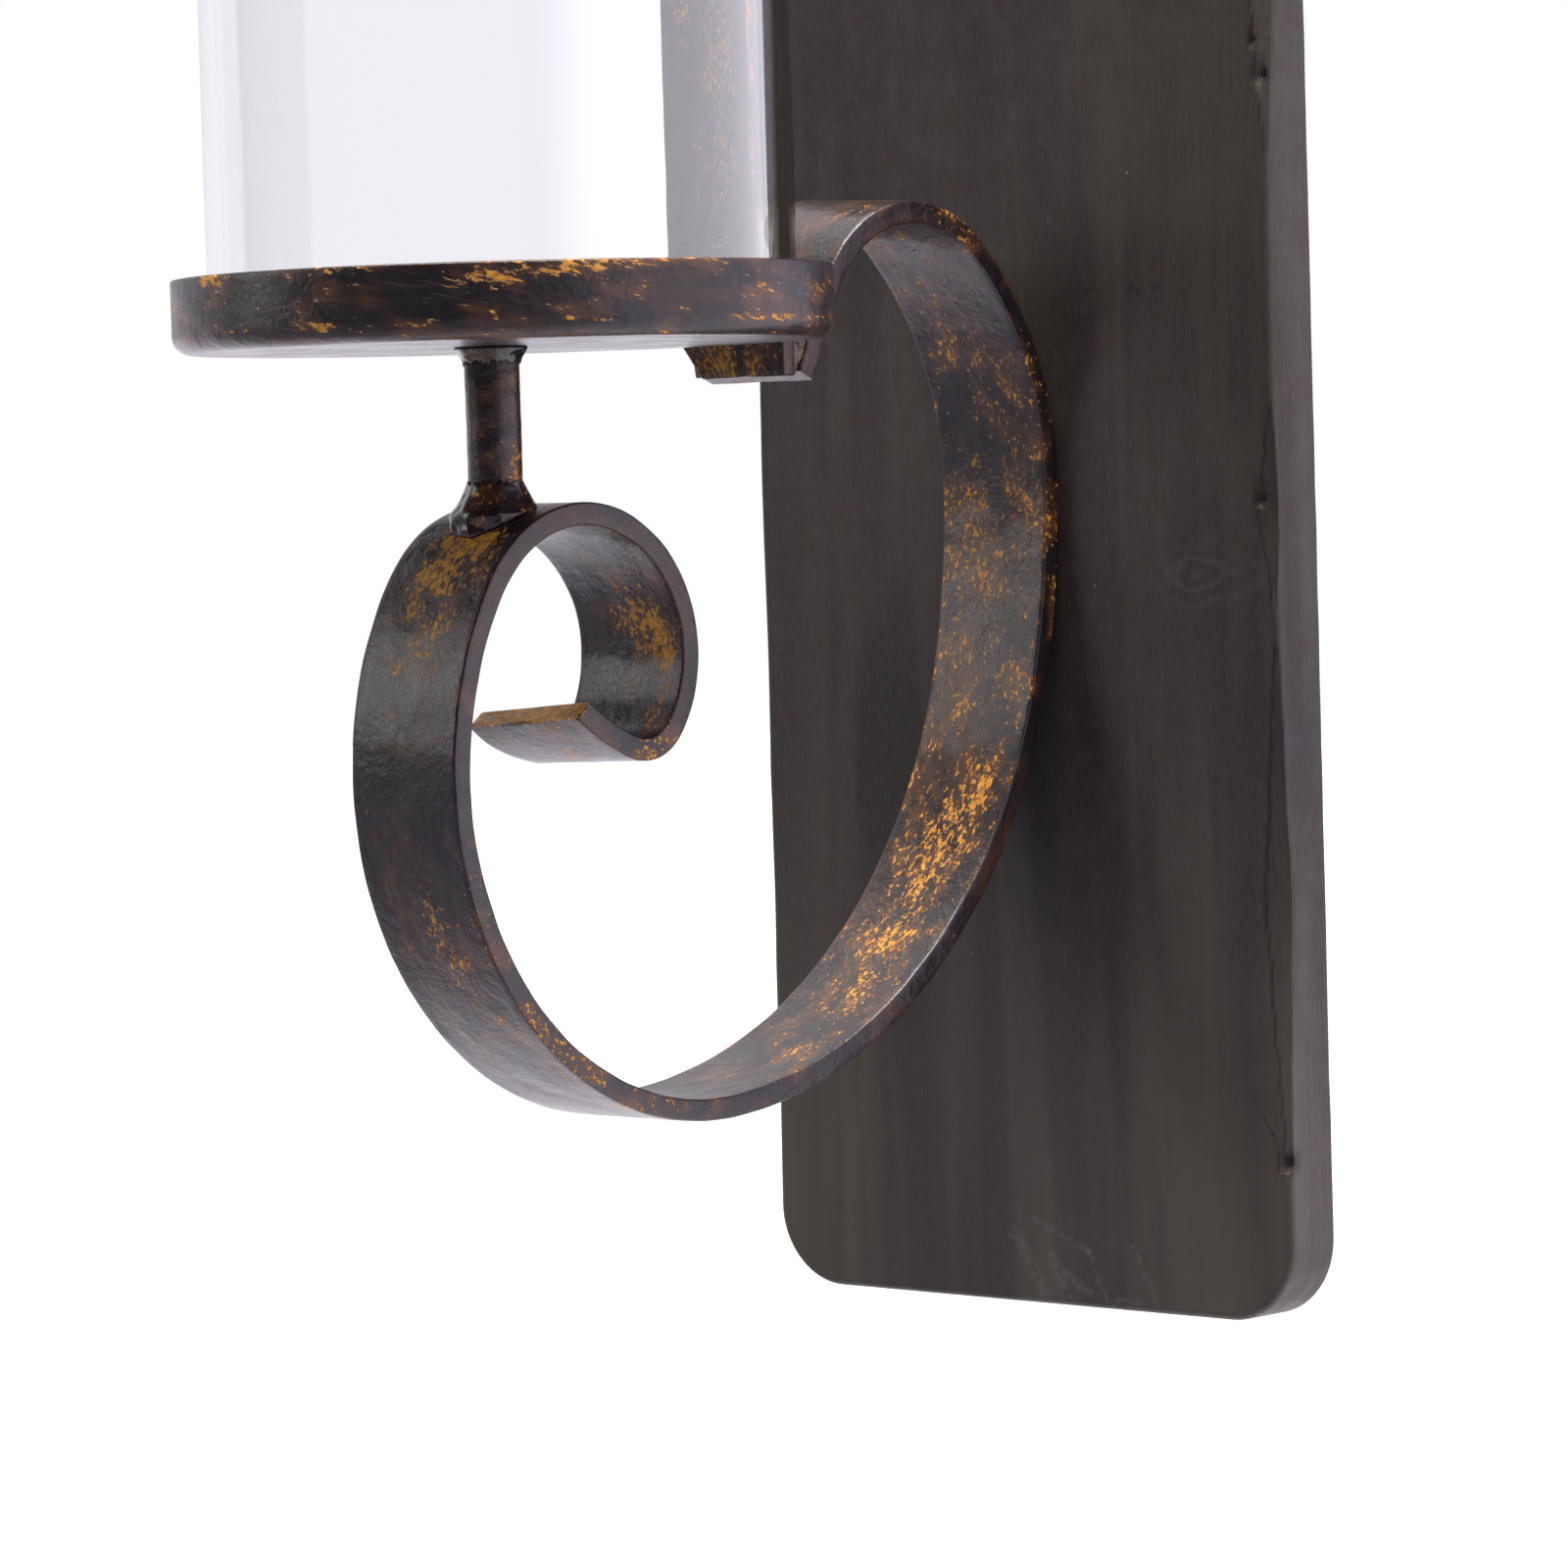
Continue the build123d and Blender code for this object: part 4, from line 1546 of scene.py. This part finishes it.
@dataclass
class CandleTray:
    """The round tray with an upright rim and a rounded lower edge.

    Attributes:
        wall: Thickness of the metal, mm.
        lower_edge: Outer radius of the lower edge, mm.
        lip: Radius of the lip's edges, mm.
        columns: Steps round it.
        patches: Where its paint is rubbed, as degrees round it and height above its underside.
    """

    wall: float = 1.8
    lower_edge: float = 3.2
    lip: float = 0.5
    columns: int = 360
    patches: tuple[Rub, ...] = (
        Rub(Side.OUTER, -47.0, 10.0, 8.0, 2.4, 0.86),
        Rub(Side.OUTER, -34.0, 11.6, 11.0, 1.8, 0.90),
        Rub(Side.OUTER, -52.0, 8.5, 6.0, 1.4, 0.52),
        Rub(Side.OUTER, -20.0, 12.2, 16.0, 1.0, 0.62),
        Rub(Side.OUTER, -78.0, 3.0, 6.0, 1.0, 0.86),
        Rub(Side.OUTER, -92.0, 3.2, 14.0, 1.2, 0.58),
        Rub(Side.OUTER, -60.0, 2.8, 10.0, 0.9, 0.50),
        Rub(Side.OUTER, 5.0, 2.9, 14.0, 1.0, 0.80),
        Rub(Side.OUTER, 26.0, 3.0, 12.0, 1.3, 0.55),
        Rub(Side.OUTER, -30.0, 2.9, 12.0, 0.8, 0.48),
        Rub(Side.OUTER, -104.0, 11.8, 12.0, 1.4, 0.70),
        Rub(Side.OUTER, -122.0, 9.0, 8.0, 4.0, 0.56),
        Rub(Side.OUTER, 22.0, 8.0, 10.0, 4.0, 0.40),
        Rub(Side.OUTER, 34.0, 10.5, 8.0, 2.2, 0.48),
        Rub(Side.OUTER, -75.0, 12.0, 12.0, 1.2, 0.62),
        Rub(Side.OUTER, 150.0, 7.0, 26.0, 4.0, 0.52),
        Rub(Side.OUTER, -160.0, 11.0, 24.0, 2.2, 0.60),
        Rub(Side.OUTER, 80.0, 11.5, 24.0, 1.6, 0.56),
    )

    def profile(self, low: float, high: float, radius: float) -> np.ndarray:
        """Profile from the middle of the underside over the rim to the middle of the floor.

        Args:
            low: Height of the underside, mm.
            high: Height of the lip, mm.
            radius: Outer radius, mm.

        Returns:
            Rows of (radius, z).
        """
        points = [(r, low) for r in (0.6, 10.0, 20.0, 30.0, 40.0, 48.0, radius - self.lower_edge - 1.0)]
        points += self.arc(radius - self.lower_edge, low + self.lower_edge, self.lower_edge, -90.0, 0.0, 8)
        wall_foot, wall_top = low + self.lower_edge, high - self.lip
        points += [(radius, z) for z in np.linspace(wall_foot, wall_top, 14)[1:-1]]
        points += self.arc(radius - self.lip, high - self.lip, self.lip, 0.0, 90.0, 4)
        inner = radius - self.wall
        points += self.arc(inner + self.lip, high - self.lip, self.lip, 90.0, 180.0, 4)
        floor = low + self.wall
        inside = self.lower_edge - self.wall
        points += [(inner, z) for z in np.linspace(high - self.lip, floor + inside, 9)[1:-1]]
        points += self.arc(inner - inside, floor + inside, inside, 0.0, -90.0, 4)
        points += [(r, floor) for r in (50.0, 44.0, 36.0, 28.0, 20.0, 12.0, 0.6)]
        return np.array(points)

    @staticmethod
    def arc(
        r: float, z: float, radius: float, first: float, last: float, steps: int
    ) -> list[tuple[float, float]]:
        """Points on an arc round (r, z) between two angles in degrees."""
        angles = [radians(first + (last - first) * k / steps) for k in range(steps + 1)]
        return [(r + radius * cos(a), z + radius * sin(a)) for a in angles]

    def build(self, material: Material) -> None:
        """Makes the tray and places it.

        Args:
            material: Its material.
        """
        low, high = box_mm("candle_tray")
        radius = float(high[0])
        centre = (0.0, float(low[1] + high[1]) / 2)
        profile = self.profile(float(low[2]), float(high[2]), radius)
        places, skin = turned(
            profile, centre, self.columns, lambda p: 0.16 * wander_over(p, 17.0) + 0.05 * wander_over(p, 4.0)
        )
        angles = np.linspace(-180.0, 180.0, self.columns + 1)[:-1]
        heights = profile[:, 1:] - low[2]
        rim = np.broadcast_to(profile[:, :1] > radius - self.lower_edge, (len(profile), self.columns))
        sides = np.where(rim, Side.OUTER.value, Side.INNER.value)
        wear = rubbed(self.patches, angles[None, :], heights, sides)
        wear = np.maximum(wear, 0.22 * rim)
        skin[..., 1] += 0.16 * skin[..., 0]
        place(Lattice(places, skin, wear).build("tray"), Body.BRACKET, Slot.METAL, material, "candle_tray")


@dataclass
class GlassShade:
    """The plain glass cylinder, open at both ends, with fire-polished rims.

    Attributes:
        wall: Thickness of the glass, mm.
        rim: Radius of its rims, mm.
        columns: Steps round it.
    """

    wall: float = 2.8
    rim: float = 1.2
    columns: int = 240

    def build(self, material: Material) -> Piece:
        """Makes the cylinder and places it.

        Args:
            material: Its material.

        Returns:
            The cylinder.
        """
        low, high = box_mm("glass_shade")
        radius = float(high[0])
        centre = (0.0, float(low[1] + high[1]) / 2)
        inner = radius - self.wall
        foot, top = float(low[2]), float(high[2])
        walls = np.linspace(foot + self.rim, top - self.rim, 40)
        points = [(radius, z) for z in walls]
        points += CandleTray.arc(radius - self.rim, top - self.rim, self.rim, 0.0, 90.0, 5)[1:]
        points += CandleTray.arc(inner + self.rim, top - self.rim, self.rim, 90.0, 180.0, 5)[1:]
        points += [(inner, z) for z in walls[::-1][1:]]
        points += CandleTray.arc(inner + self.rim, foot + self.rim, self.rim, 180.0, 270.0, 5)[1:]
        points += CandleTray.arc(radius - self.rim, foot + self.rim, self.rim, 270.0, 360.0, 5)[1:-1]
        profile = np.array(points)
        places, skin = turned(profile, centre, self.columns, self.uneven)
        lattice = Lattice(places, skin, closed_rows=True)
        return place(lattice.build("glass", crease=60.0), Body.GLASS, Slot.GLASS, material, "glass_shade")

    def uneven(self, places: np.ndarray) -> np.ndarray:
        """The slight unevenness of drawn glass, mm.

        Args:
            places: Points of the glass, mm.

        Returns:
            Extra radius at each point, mm.
        """
        inside = np.hypot(places[..., 0], places[..., 1]) < np.abs(places[..., 0]).max() - self.wall / 2
        slow = wander_over(places * np.array([1.0, 1.0, 0.25]), 26.0, 4.0)
        return np.where(inside, 0.05, 0.02) * slow


@dataclass
class Post:
    """The round post with its lumpy weld beads.

    Attributes:
        sink: How far it goes into the curl's bar at its foot, mm; not used.
        columns: Steps round it.
    """

    sink: float = 2.4
    columns: int = 72

    def build(self, material: Material, weld: Material) -> None:
        """Makes the post and all weld beads.

        Args:
            material: The post's material.
            weld: The beads' material.
        """
        low, high = box_mm("tray_post")
        radius = float(high[0])
        centre = (0.0, float(low[1] + high[1]) / 2)
        foot, top = float(low[2]) + 0.2, float(high[2]) + 0.6
        heights = np.linspace(foot, top, 44)
        profile = np.stack([np.full_like(heights, radius), heights], axis=-1)

        def uneven(at: np.ndarray) -> np.ndarray:
            """The rod's small unevenness, mm."""
            return 0.10 * wander_over(at, 6.0, 1.0) + 0.05 * wander_over(at, 2.0)

        places, skin = turned(profile, centre, self.columns, uneven)
        angles = np.linspace(-180.0, 180.0, self.columns + 1)[:-1]
        reach = ((angles[None, :] - 10.0) / 34.0) ** 2 + ((heights[:, None] - foot - 9.0) / 7.0) ** 2
        wear = np.maximum(0.55 * np.exp(-reach), 0.22)
        post = Lattice(places, skin, wear).build("post")
        place(post, Body.BRACKET, Slot.METAL, material, "tray_post")
        beads = (
            ("post_foot_weld", 0.45, 3.4, 0.05, 0.42),
            ("post_head_weld", 0.35, 3.0, 0.15, 0.30),
            ("strap_foot_weld", 0.40, 3.0, 0.20, 0.40),
            ("tray_tack_welds", 0.25, 2.0, 0.15, 0.30),
        )
        for node, lump, size, grown, wear_share in beads:
            bead = self.bead(node, lump, size, grown, wear_share)
            place(bead, Body.BRACKET, Slot.METAL, weld, node)

    @staticmethod
    def bead(node: str, lump: float, size: float, grown: float, wear_share: float) -> Piece:
        """A weld bead: the CAD bead's form, remeshed finely and made lumpy.

        Args:
            node: The CAD node.
            lump: Height of its lumps, mm.
            size: Width of its lumps, mm.
            grown: How far it is swollen all round, mm.
            wear_share: Wear of its paint, 0 to 1.

        Returns:
            The bead.
        """
        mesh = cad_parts[node].data.copy()
        bead = bpy.data.objects.new(node.replace("weld", "bead"), mesh)
        bpy.context.scene.collection.objects.link(bead)
        remesh = bead.modifiers.new("fine", "REMESH")
        remesh.mode = "VOXEL"
        remesh.voxel_size = 0.30 * MM
        soften = bead.modifiers.new("soften", "SMOOTH")
        soften.factor = 0.5
        soften.iterations = 12
        with_modifiers(bead)
        mesh = bead.data
        count = len(mesh.vertices)
        places = np.empty(count * 3, np.float32)
        normals = np.empty(count * 3, np.float32)
        mesh.vertices.foreach_get("co", places)
        mesh.vertex_normals.foreach_get("vector", normals)
        places = places.reshape(-1, 3) / MM
        normals = normals.reshape(-1, 3)
        bumps = wander_over(places, size, 6.0) * lump + wander_over(places, size * 0.4, 2.0) * lump * 0.25
        places = places + normals * (grown + bumps)[:, None]
        mesh.vertices.foreach_set("co", (places * MM).astype(np.float32).ravel())
        skin = mesh.attributes.new(SKIN, "FLOAT_VECTOR", "POINT")
        skin.data.foreach_set("vector", places.astype(np.float32).ravel())
        wear = mesh.attributes.new(WEAR_AND_SHADE, "FLOAT", "POINT")
        share = wear_share * (0.75 + 0.45 * wander_over(places, 4.0, 9.0))
        wear.data.foreach_set("value", share.astype(np.float32))
        mesh.shade_smooth()
        mesh.update()
        return bead


@dataclass
class Fixings:
    """The studs, washers and nuts in the rear of the board.

    Attributes:
        pitch: Pitch of the studs' thread, mm.
        thread: Depth of the thread, mm.
        chamfer: Slope of the nuts' corner chamfer.
    """

    pitch: float = 1.0
    thread: float = 0.5
    chamfer: float = 0.58

    def heights(self) -> tuple[float, float]:
        """The two studs' heights, mm.

        Returns:
            The lower stud's and the upper stud's.
        """
        low, high = box_mm("bracket_studs")
        radius = float(high[0])
        return float(low[2]) + radius, float(high[2]) - radius

    def build(self, material: Material) -> None:
        """Makes all of them and places them.

        Args:
            material: Its material.
        """
        self.studs(material)
        self.nuts(material)
        self.washers(material)

    def around(
        self, name: str, node: str, material: Material, profile: Callable[[float], list[tuple[float, float]]],
        columns: int, closed: bool,
    ) -> None:
        """Turns one profile round both studs' axes and joins the two as one piece.

        Args:
            name: The piece's name.
            node: The CAD node that it replaces.
            material: Its material.
            profile: (radius, y) points for an angle in radians.
            columns: Steps round the axis.
            closed: Whether the profile closes on itself.
        """
        halves = []
        for height in self.heights():
            grid = []
            for k in range(columns):
                angle = 2 * pi * k / columns
                grid.append([(r * cos(angle), y, height + r * sin(angle)) for r, y in profile(angle)])
            places = np.array(grid).transpose(1, 0, 2)
            skin = np.concatenate([places, places[:, :1]], axis=1)
            halves.append(Lattice(places, skin, closed_rows=closed).build(name, crease=30.0))
        piece = join(halves, name)
        place(piece, Body.BRACKET, Slot.STEEL, material, node)

    def studs(self, material: Material) -> None:
        """Threaded stud ends.

        Args:
            material: Its material.
        """
        low, high = box_mm("bracket_studs")
        radius, front, end = float(high[0]), float(low[1]), float(high[1])
        rows = np.linspace(front, end - 0.5, round((end - front) / (self.pitch / 8)))

        def profile(angle: float) -> list[tuple[float, float]]:
            """The thread's profile at one angle.

            Args:
                angle: The angle round the axis, radians.

            Returns:
                Rows of (radius, y), mm.
            """
            points = []
            for y in rows:
                turn = (y / self.pitch - angle / (2 * pi)) % 1.0
                points.append((radius - self.thread * abs(2 * turn - 1.0), y))
            points.append((radius - self.thread - 0.5, end))
            return points

        self.around("studs", "bracket_studs", material, profile, 40, False)

    def nuts(self, material: Material) -> None:
        """Hexagon nuts with chamfered corners.

        Args:
            material: Its material.
        """
        low, high = box_mm("stud_nuts")
        bore = float(box_mm("bracket_studs")[1][0]) - 0.02
        front, back = float(low[1]), float(high[1])
        across = float(high[0]) * cos(pi / 6)

        def profile(angle: float) -> list[tuple[float, float]]:
            """The nut's profile at one angle.

            Args:
                angle: The angle round the axis, radians.

            Returns:
                Rows of (radius, y), mm.
            """
            sector = (angle + pi / 6) % (pi / 3) - pi / 6
            reach = across / cos(sector)
            cut = (reach - across * 0.985) * self.chamfer
            inner = bore + 0.55
            return [
                (bore, front + 0.4), (inner, front), (across * 0.96, front), (reach - 0.02, front + cut),
                (reach, front + cut + 0.05), (reach, back - cut - 0.05), (reach - 0.02, back - cut),
                (across * 0.96, back), (inner, back), (bore, back - 0.4),
            ]

        self.around("nuts", "stud_nuts", material, profile, 96, True)

    def washers(self, material: Material) -> None:
        """Round washers with rolled edges.

        Args:
            material: Its material.
        """
        low, high = box_mm("stud_washers")
        outer, front, back = float(high[0]), float(low[1]), float(high[1])
        bore = float(box_mm("bracket_studs")[1][0]) + 0.3
        soft = 0.25
        loop = [
            (bore, front + soft), (bore + soft, front), (outer - soft, front), (outer, front + soft),
            (outer, back - soft), (outer - soft, back), (bore + soft, back), (bore, back - soft),
        ]
        self.around("washers", "stud_washers", material, lambda angle: loop, 72, True)


def join(pieces: list[Piece], name: str) -> Piece:
    """Joins meshes into the first one.

    Args:
        pieces: Objects at the frame's origin.
        name: Name of the result.

    Returns:
        The joined object.
    """
    work = bmesh.new()
    for piece in pieces:
        work.from_mesh(piece.data)
    mesh = bpy.data.meshes.new(name)
    work.to_mesh(mesh)
    work.free()
    for piece in pieces:
        bpy.data.objects.remove(piece)
    mesh.shade_smooth()
    mesh.set_sharp_from_angle(angle=radians(30.0))
    joined = bpy.data.objects.new(name, mesh)
    bpy.context.scene.collection.objects.link(joined)
    return joined


@dataclass
class Hanger:
    """The keyhole hanger and its two countersunk screws with cross recesses.

    Attributes:
        arm: Half of the recess's length, mm.
        slot_half: Half of the width of its arms, mm.
        deep: Its depth, mm.
    """

    arm: float = 1.75
    slot_half: float = 0.42
    deep: float = 1.1

    def build(self, material: Material) -> None:
        """Dresses the hanger and makes the screws.

        Args:
            material: Its material.
        """
        keep("keyhole_hanger", material)
        low, high = box_mm("hanger_screws")
        head = float(high[0])
        tip = float(low[1])
        made = []
        for height in (float(low[2]) + head, float(high[2]) - head):
            made.append(self.screw(height, head, tip))
        place(join(made, "screws"), Body.BRACKET, Slot.STEEL, material, "hanger_screws")

    def screw(self, height: float, head: float, tip: float) -> Piece:
        """One screw, its recess pressed into a fine head.

        Args:
            height: Its axis' height, mm.
            head: Radius of its head, mm.
            tip: The y of its tip, mm.

        Returns:
            The screw.
        """
        shank = head * 0.52
        rings = [(r, -0.02 * (r / head) ** 2) for r in np.linspace(0.08, head - 0.35, 26)]
        rings += [(head - 0.15, -0.16), (head, -0.40), (shank, -1.7)]
        rings += [(shank - 0.22 * (k % 2), y) for k, y in enumerate(np.linspace(-2.0, tip + 2.0, 14))]
        rings += [(0.15, tip)]
        columns = 96
        grid = []
        for radius, y in rings:
            row = []
            for k in range(columns):
                angle = 2 * pi * k / columns
                u, v = radius * cos(angle), radius * sin(angle)
                sunk = 0.0
                if y > -0.05:
                    near, wide = min(abs(u), abs(v)), max(abs(u), abs(v))
                    sunk = self.deep * float(smooth_step(self.slot_half + 0.14 - near, 0.0, 0.16))
                    sunk *= float(smooth_step(self.arm - wide, 0.0, 0.9))
                row.append((u, y - sunk, height + v))
            grid.append(row)
        places = np.array(grid)
        skin = np.concatenate([places, places[:, :1]], axis=1)
        return Lattice(places, skin).build("screw", crease=35.0)


# ---------------------------------------------------------------- studio


@dataclass
class Studio:
    """The camera, the lights, the floor and the surroundings.

    Attributes:
        camera_at: Where the camera is, mm.
        azimuth: Its direction round the object, degrees from the front towards +X.
        elevation: How far it looks down, degrees.
        roll: Its roll, degrees.
        lens: Focal length on a 36 mm sensor, mm.
        floor_drop: How far the floor is below the board's foot, m.
    """

    camera_at: tuple[float, float, float] = (744.36, -885.90, -47.38)
    azimuth: float = 42.63
    elevation: float = 2.79
    roll: float = -1.66
    lens: float = 139.3
    floor_drop: float = 0.55

    def build(self, glass: Piece) -> None:
        """Makes everything that isn't part of the object.

        Args:
            glass: The glass, which no lamp lights.
        """
        self.camera()
        floor = self.floor()
        self.surroundings()
        key = self.lamp("key_light", (-1.25, -1.35, 0.50), 0.75, 0.85, 6.2, (1.0, 0.99, 0.98))
        top = self.lamp("top_light", (0.0, -0.12, 1.6), 1.2, 0.9, 105.0, (1.0, 0.89, 0.78))
        unlit = bpy.data.collections.new("unlit")
        for index, piece in enumerate((glass, floor)):
            unlit.objects.link(piece)
            unlit.collection_objects[index].light_linking.link_state = "EXCLUDE"
        key.light_linking.receiver_collection = unlit
        top.light_linking.receiver_collection = unlit
        scene = bpy.context.scene
        scene.view_settings.view_transform = "Standard"

    def camera(self) -> None:
        """The camera."""
        data = bpy.data.cameras.new("camera")
        data.sensor_width = 36.0
        data.lens = self.lens
        data.clip_start = 0.01
        data.clip_end = 100.0
        turn, down, roll = radians(self.azimuth), radians(self.elevation), radians(self.roll)
        view = Vector((-sin(turn) * cos(down), cos(turn) * cos(down), -sin(down)))
        level = Vector((cos(turn), sin(turn), 0.0))
        up = level.cross(view)
        right = cos(roll) * level + sin(roll) * up
        up = right.cross(view)
        matrix = Matrix((right, up, -view)).transposed().to_4x4()
        matrix.translation = Vector(self.camera_at) * MM
        camera = bpy.data.objects.new("camera", data)
        camera.matrix_world = matrix
        bpy.context.scene.collection.objects.link(camera)
        bpy.context.scene.camera = camera

    def floor(self) -> Piece:
        """A pale floor well below the sconce, which glows: it lights the sconce from below, more towards the
        wall, and looks plain white to the camera.

        Returns:
            The floor.
        """
        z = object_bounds()[0][2] - self.floor_drop
        reach = 12.0
        mesh = bpy.data.meshes.new("floor")
        corners = [(-reach, -reach, z), (reach, -reach, z), (reach, reach, z), (-reach, reach, z)]
        mesh.from_pydata(corners, [], [(0, 1, 2, 3)])
        floor = bpy.data.objects.new("floor", mesh)
        bpy.context.scene.collection.objects.link(floor)
        material = bpy.data.materials.new("glowing_floor")
        material.use_nodes = True
        shader = material.node_tree.nodes["Principled BSDF"]
        shader.inputs["Base Color"].default_value = (0.62, 0.62, 0.63, 1.0)
        shader.inputs["Roughness"].default_value = 0.9
        shader.inputs["Emission Strength"].default_value = 1.0
        graph = Graph(material.node_tree)
        parts = graph.node("ShaderNodeSeparateXYZ")
        graph.feed(parts.inputs[0], graph.node("ShaderNodeTexCoord").outputs["Object"])
        lit = graph.rise(parts.outputs[1], -0.55, 0.05)
        glow = graph.blend(lit, (0.0, 0.0, 0.0, 1.0), (1.15, 1.10, 1.18, 1.0))
        rays = graph.node("ShaderNodeLightPath")
        glow = graph.blend(rays.outputs["Is Transmission Ray"], glow, (0.82, 0.81, 0.87, 1.0))
        glow = graph.blend(rays.outputs["Is Camera Ray"], glow, (1.0, 1.0, 1.0, 1.0))
        graph.feed(shader.inputs["Emission Color"], glow)
        mesh.materials.append(material)
        floor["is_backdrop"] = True
        return floor

    def surroundings(self) -> None:
        """A white studio, darker in front of the wall, with a bright panel at its right for the glass.

        Only the polished glass mirrors the panel, because only its rays are singular.
        """
        world = bpy.data.worlds.new("studio")
        world.use_nodes = True
        bpy.context.scene.world = world
        graph = Graph(world.node_tree)
        background = world.node_tree.nodes["Background"]
        direction = graph.node("ShaderNodeTexCoord").outputs["Generated"]
        parts = graph.node("ShaderNodeSeparateXYZ")
        graph.feed(parts.inputs[0], direction)
        behind = graph.rise(parts.outputs[1], -0.52, 0.0)
        beside = graph.math("MULTIPLY", graph.rise(parts.outputs[0], -0.20, 0.25), behind)
        dim, white = (0.022, 0.021, 0.024, 1.0), (0.93, 0.92, 0.98, 1.0)
        colour = graph.blend(behind, dim, white)
        colour = graph.blend(beside, colour, (1.34, 1.24, 1.54, 1.0))
        rays = graph.node("ShaderNodeLightPath")
        panel = graph.math("MULTIPLY", graph.rise(parts.outputs[0], 0.02, 0.14), behind)
        panel = graph.math("MULTIPLY", panel, rays.outputs["Is Singular Ray"])
        colour = graph.blend(panel, colour, (3.4, 3.3, 3.7, 1.0))
        colour = graph.blend(rays.outputs["Is Transmission Ray"], colour, (0.93, 0.92, 0.98, 1.0))
        colour = graph.blend(rays.outputs["Is Camera Ray"], colour, (1.0, 1.0, 1.0, 1.0))
        graph.feed(background.inputs["Color"], colour)

    def lamp(
        self, name: str, at: tuple[float, float, float], wide: float, tall: float, power: float,
        tone: tuple[float, float, float],
    ) -> Piece:
        """A soft rectangular lamp that faces the object.

        Args:
            name: Its name.
            at: Where it is, m.
            wide: Its width, m.
            tall: Its height, m.
            power: Its power, W.
            tone: Its colour.

        Returns:
            The lamp.
        """
        data = bpy.data.lights.new(name, "AREA")
        data.shape = "RECTANGLE"
        data.size = wide
        data.size_y = tall
        data.energy = power
        data.color = tone
        made = bpy.data.objects.new(name, data)
        bpy.context.scene.collection.objects.link(made)
        made.location = at
        aim = Vector((0.0, -0.08, 0.0)) - Vector(at)
        made.rotation_euler = aim.to_track_quat("-Z", "Y").to_euler()
        made.visible_camera = False
        return made


def main() -> None:
    """Builds the sconce piece by piece and reports each one."""
    logging.basicConfig(level=logging.INFO, format="%(name)s %(message)s")
    make_groups()
    bars = AgedMetal("bar_paint").material()
    tray = AgedMetal("tray_paint", brushed=0.75, streak=0.34, fleck=0.80, rough=0.35, coat=0.15).material()
    weld = AgedMetal(
        "weld_paint", streak=1.0, fleck=0.9, pit=1.6, pit_depth=0.09, rough=0.22, coat=0.4
    ).material()
    front = float(box_mm("back_plate")[0][1])
    strokes = (
        (1.0, -187.0, 15.0, -192.5, 1.0),
        (14.8, -192.1, 19.2, -201.5, 0.9),
        (6.0, -194.0, 9.6, -202.0, 2.2),
        (9.0, -197.0, 16.0, -201.0, 1.6),
        (26.0, -191.0, 31.5, -201.5, 1.0),
        (20.5, -201.6, 27.5, -201.2, 1.2),
        (-3.0, -190.0, 4.0, -201.0, 2.4),
    )
    # Painted shade of small dents and cracks in the board's front.
    dents = (
        (15.1, -12.1, 17.2, -12.2, 0.7),
        (20.5, -12.4, 22.5, -12.0, 0.8),
        (31.8, -12.2, 33.4, -13.2, 1.2),
        (36.8, -12.8, 37.6, -12.6, 0.6),
        (52.0, -13.0, 53.0, -13.1, 0.5),
        (11.0, -23.0, 11.8, -23.4, 0.8),
        (60.0, 31.9, 63.4, 31.2, 0.45),
        (58.6, -51.9, 62.6, -51.0, 0.40),
        (53.0, -158.0, 58.0, -165.5, 0.45),
        (58.0, -165.5, 62.6, -174.0, 0.55),
    )
    wood = StainedWood("dark_stain", strokes=strokes, dents=dents, face=front).material()
    glass = ClearGlass("glass").material()
    steel = ZincSteel("zinc").material()
    BackPlate().build(wood)
    ScrollBracket().build(bars)
    BackStrap().build(bars)
    CandleTray().build(tray)
    shade = GlassShade().build(glass)
    Post().build(bars, weld)
    Fixings().build(steel)
    Hanger().build(steel)
    Studio().build(shade)


if __name__ == "__main__":
    main()
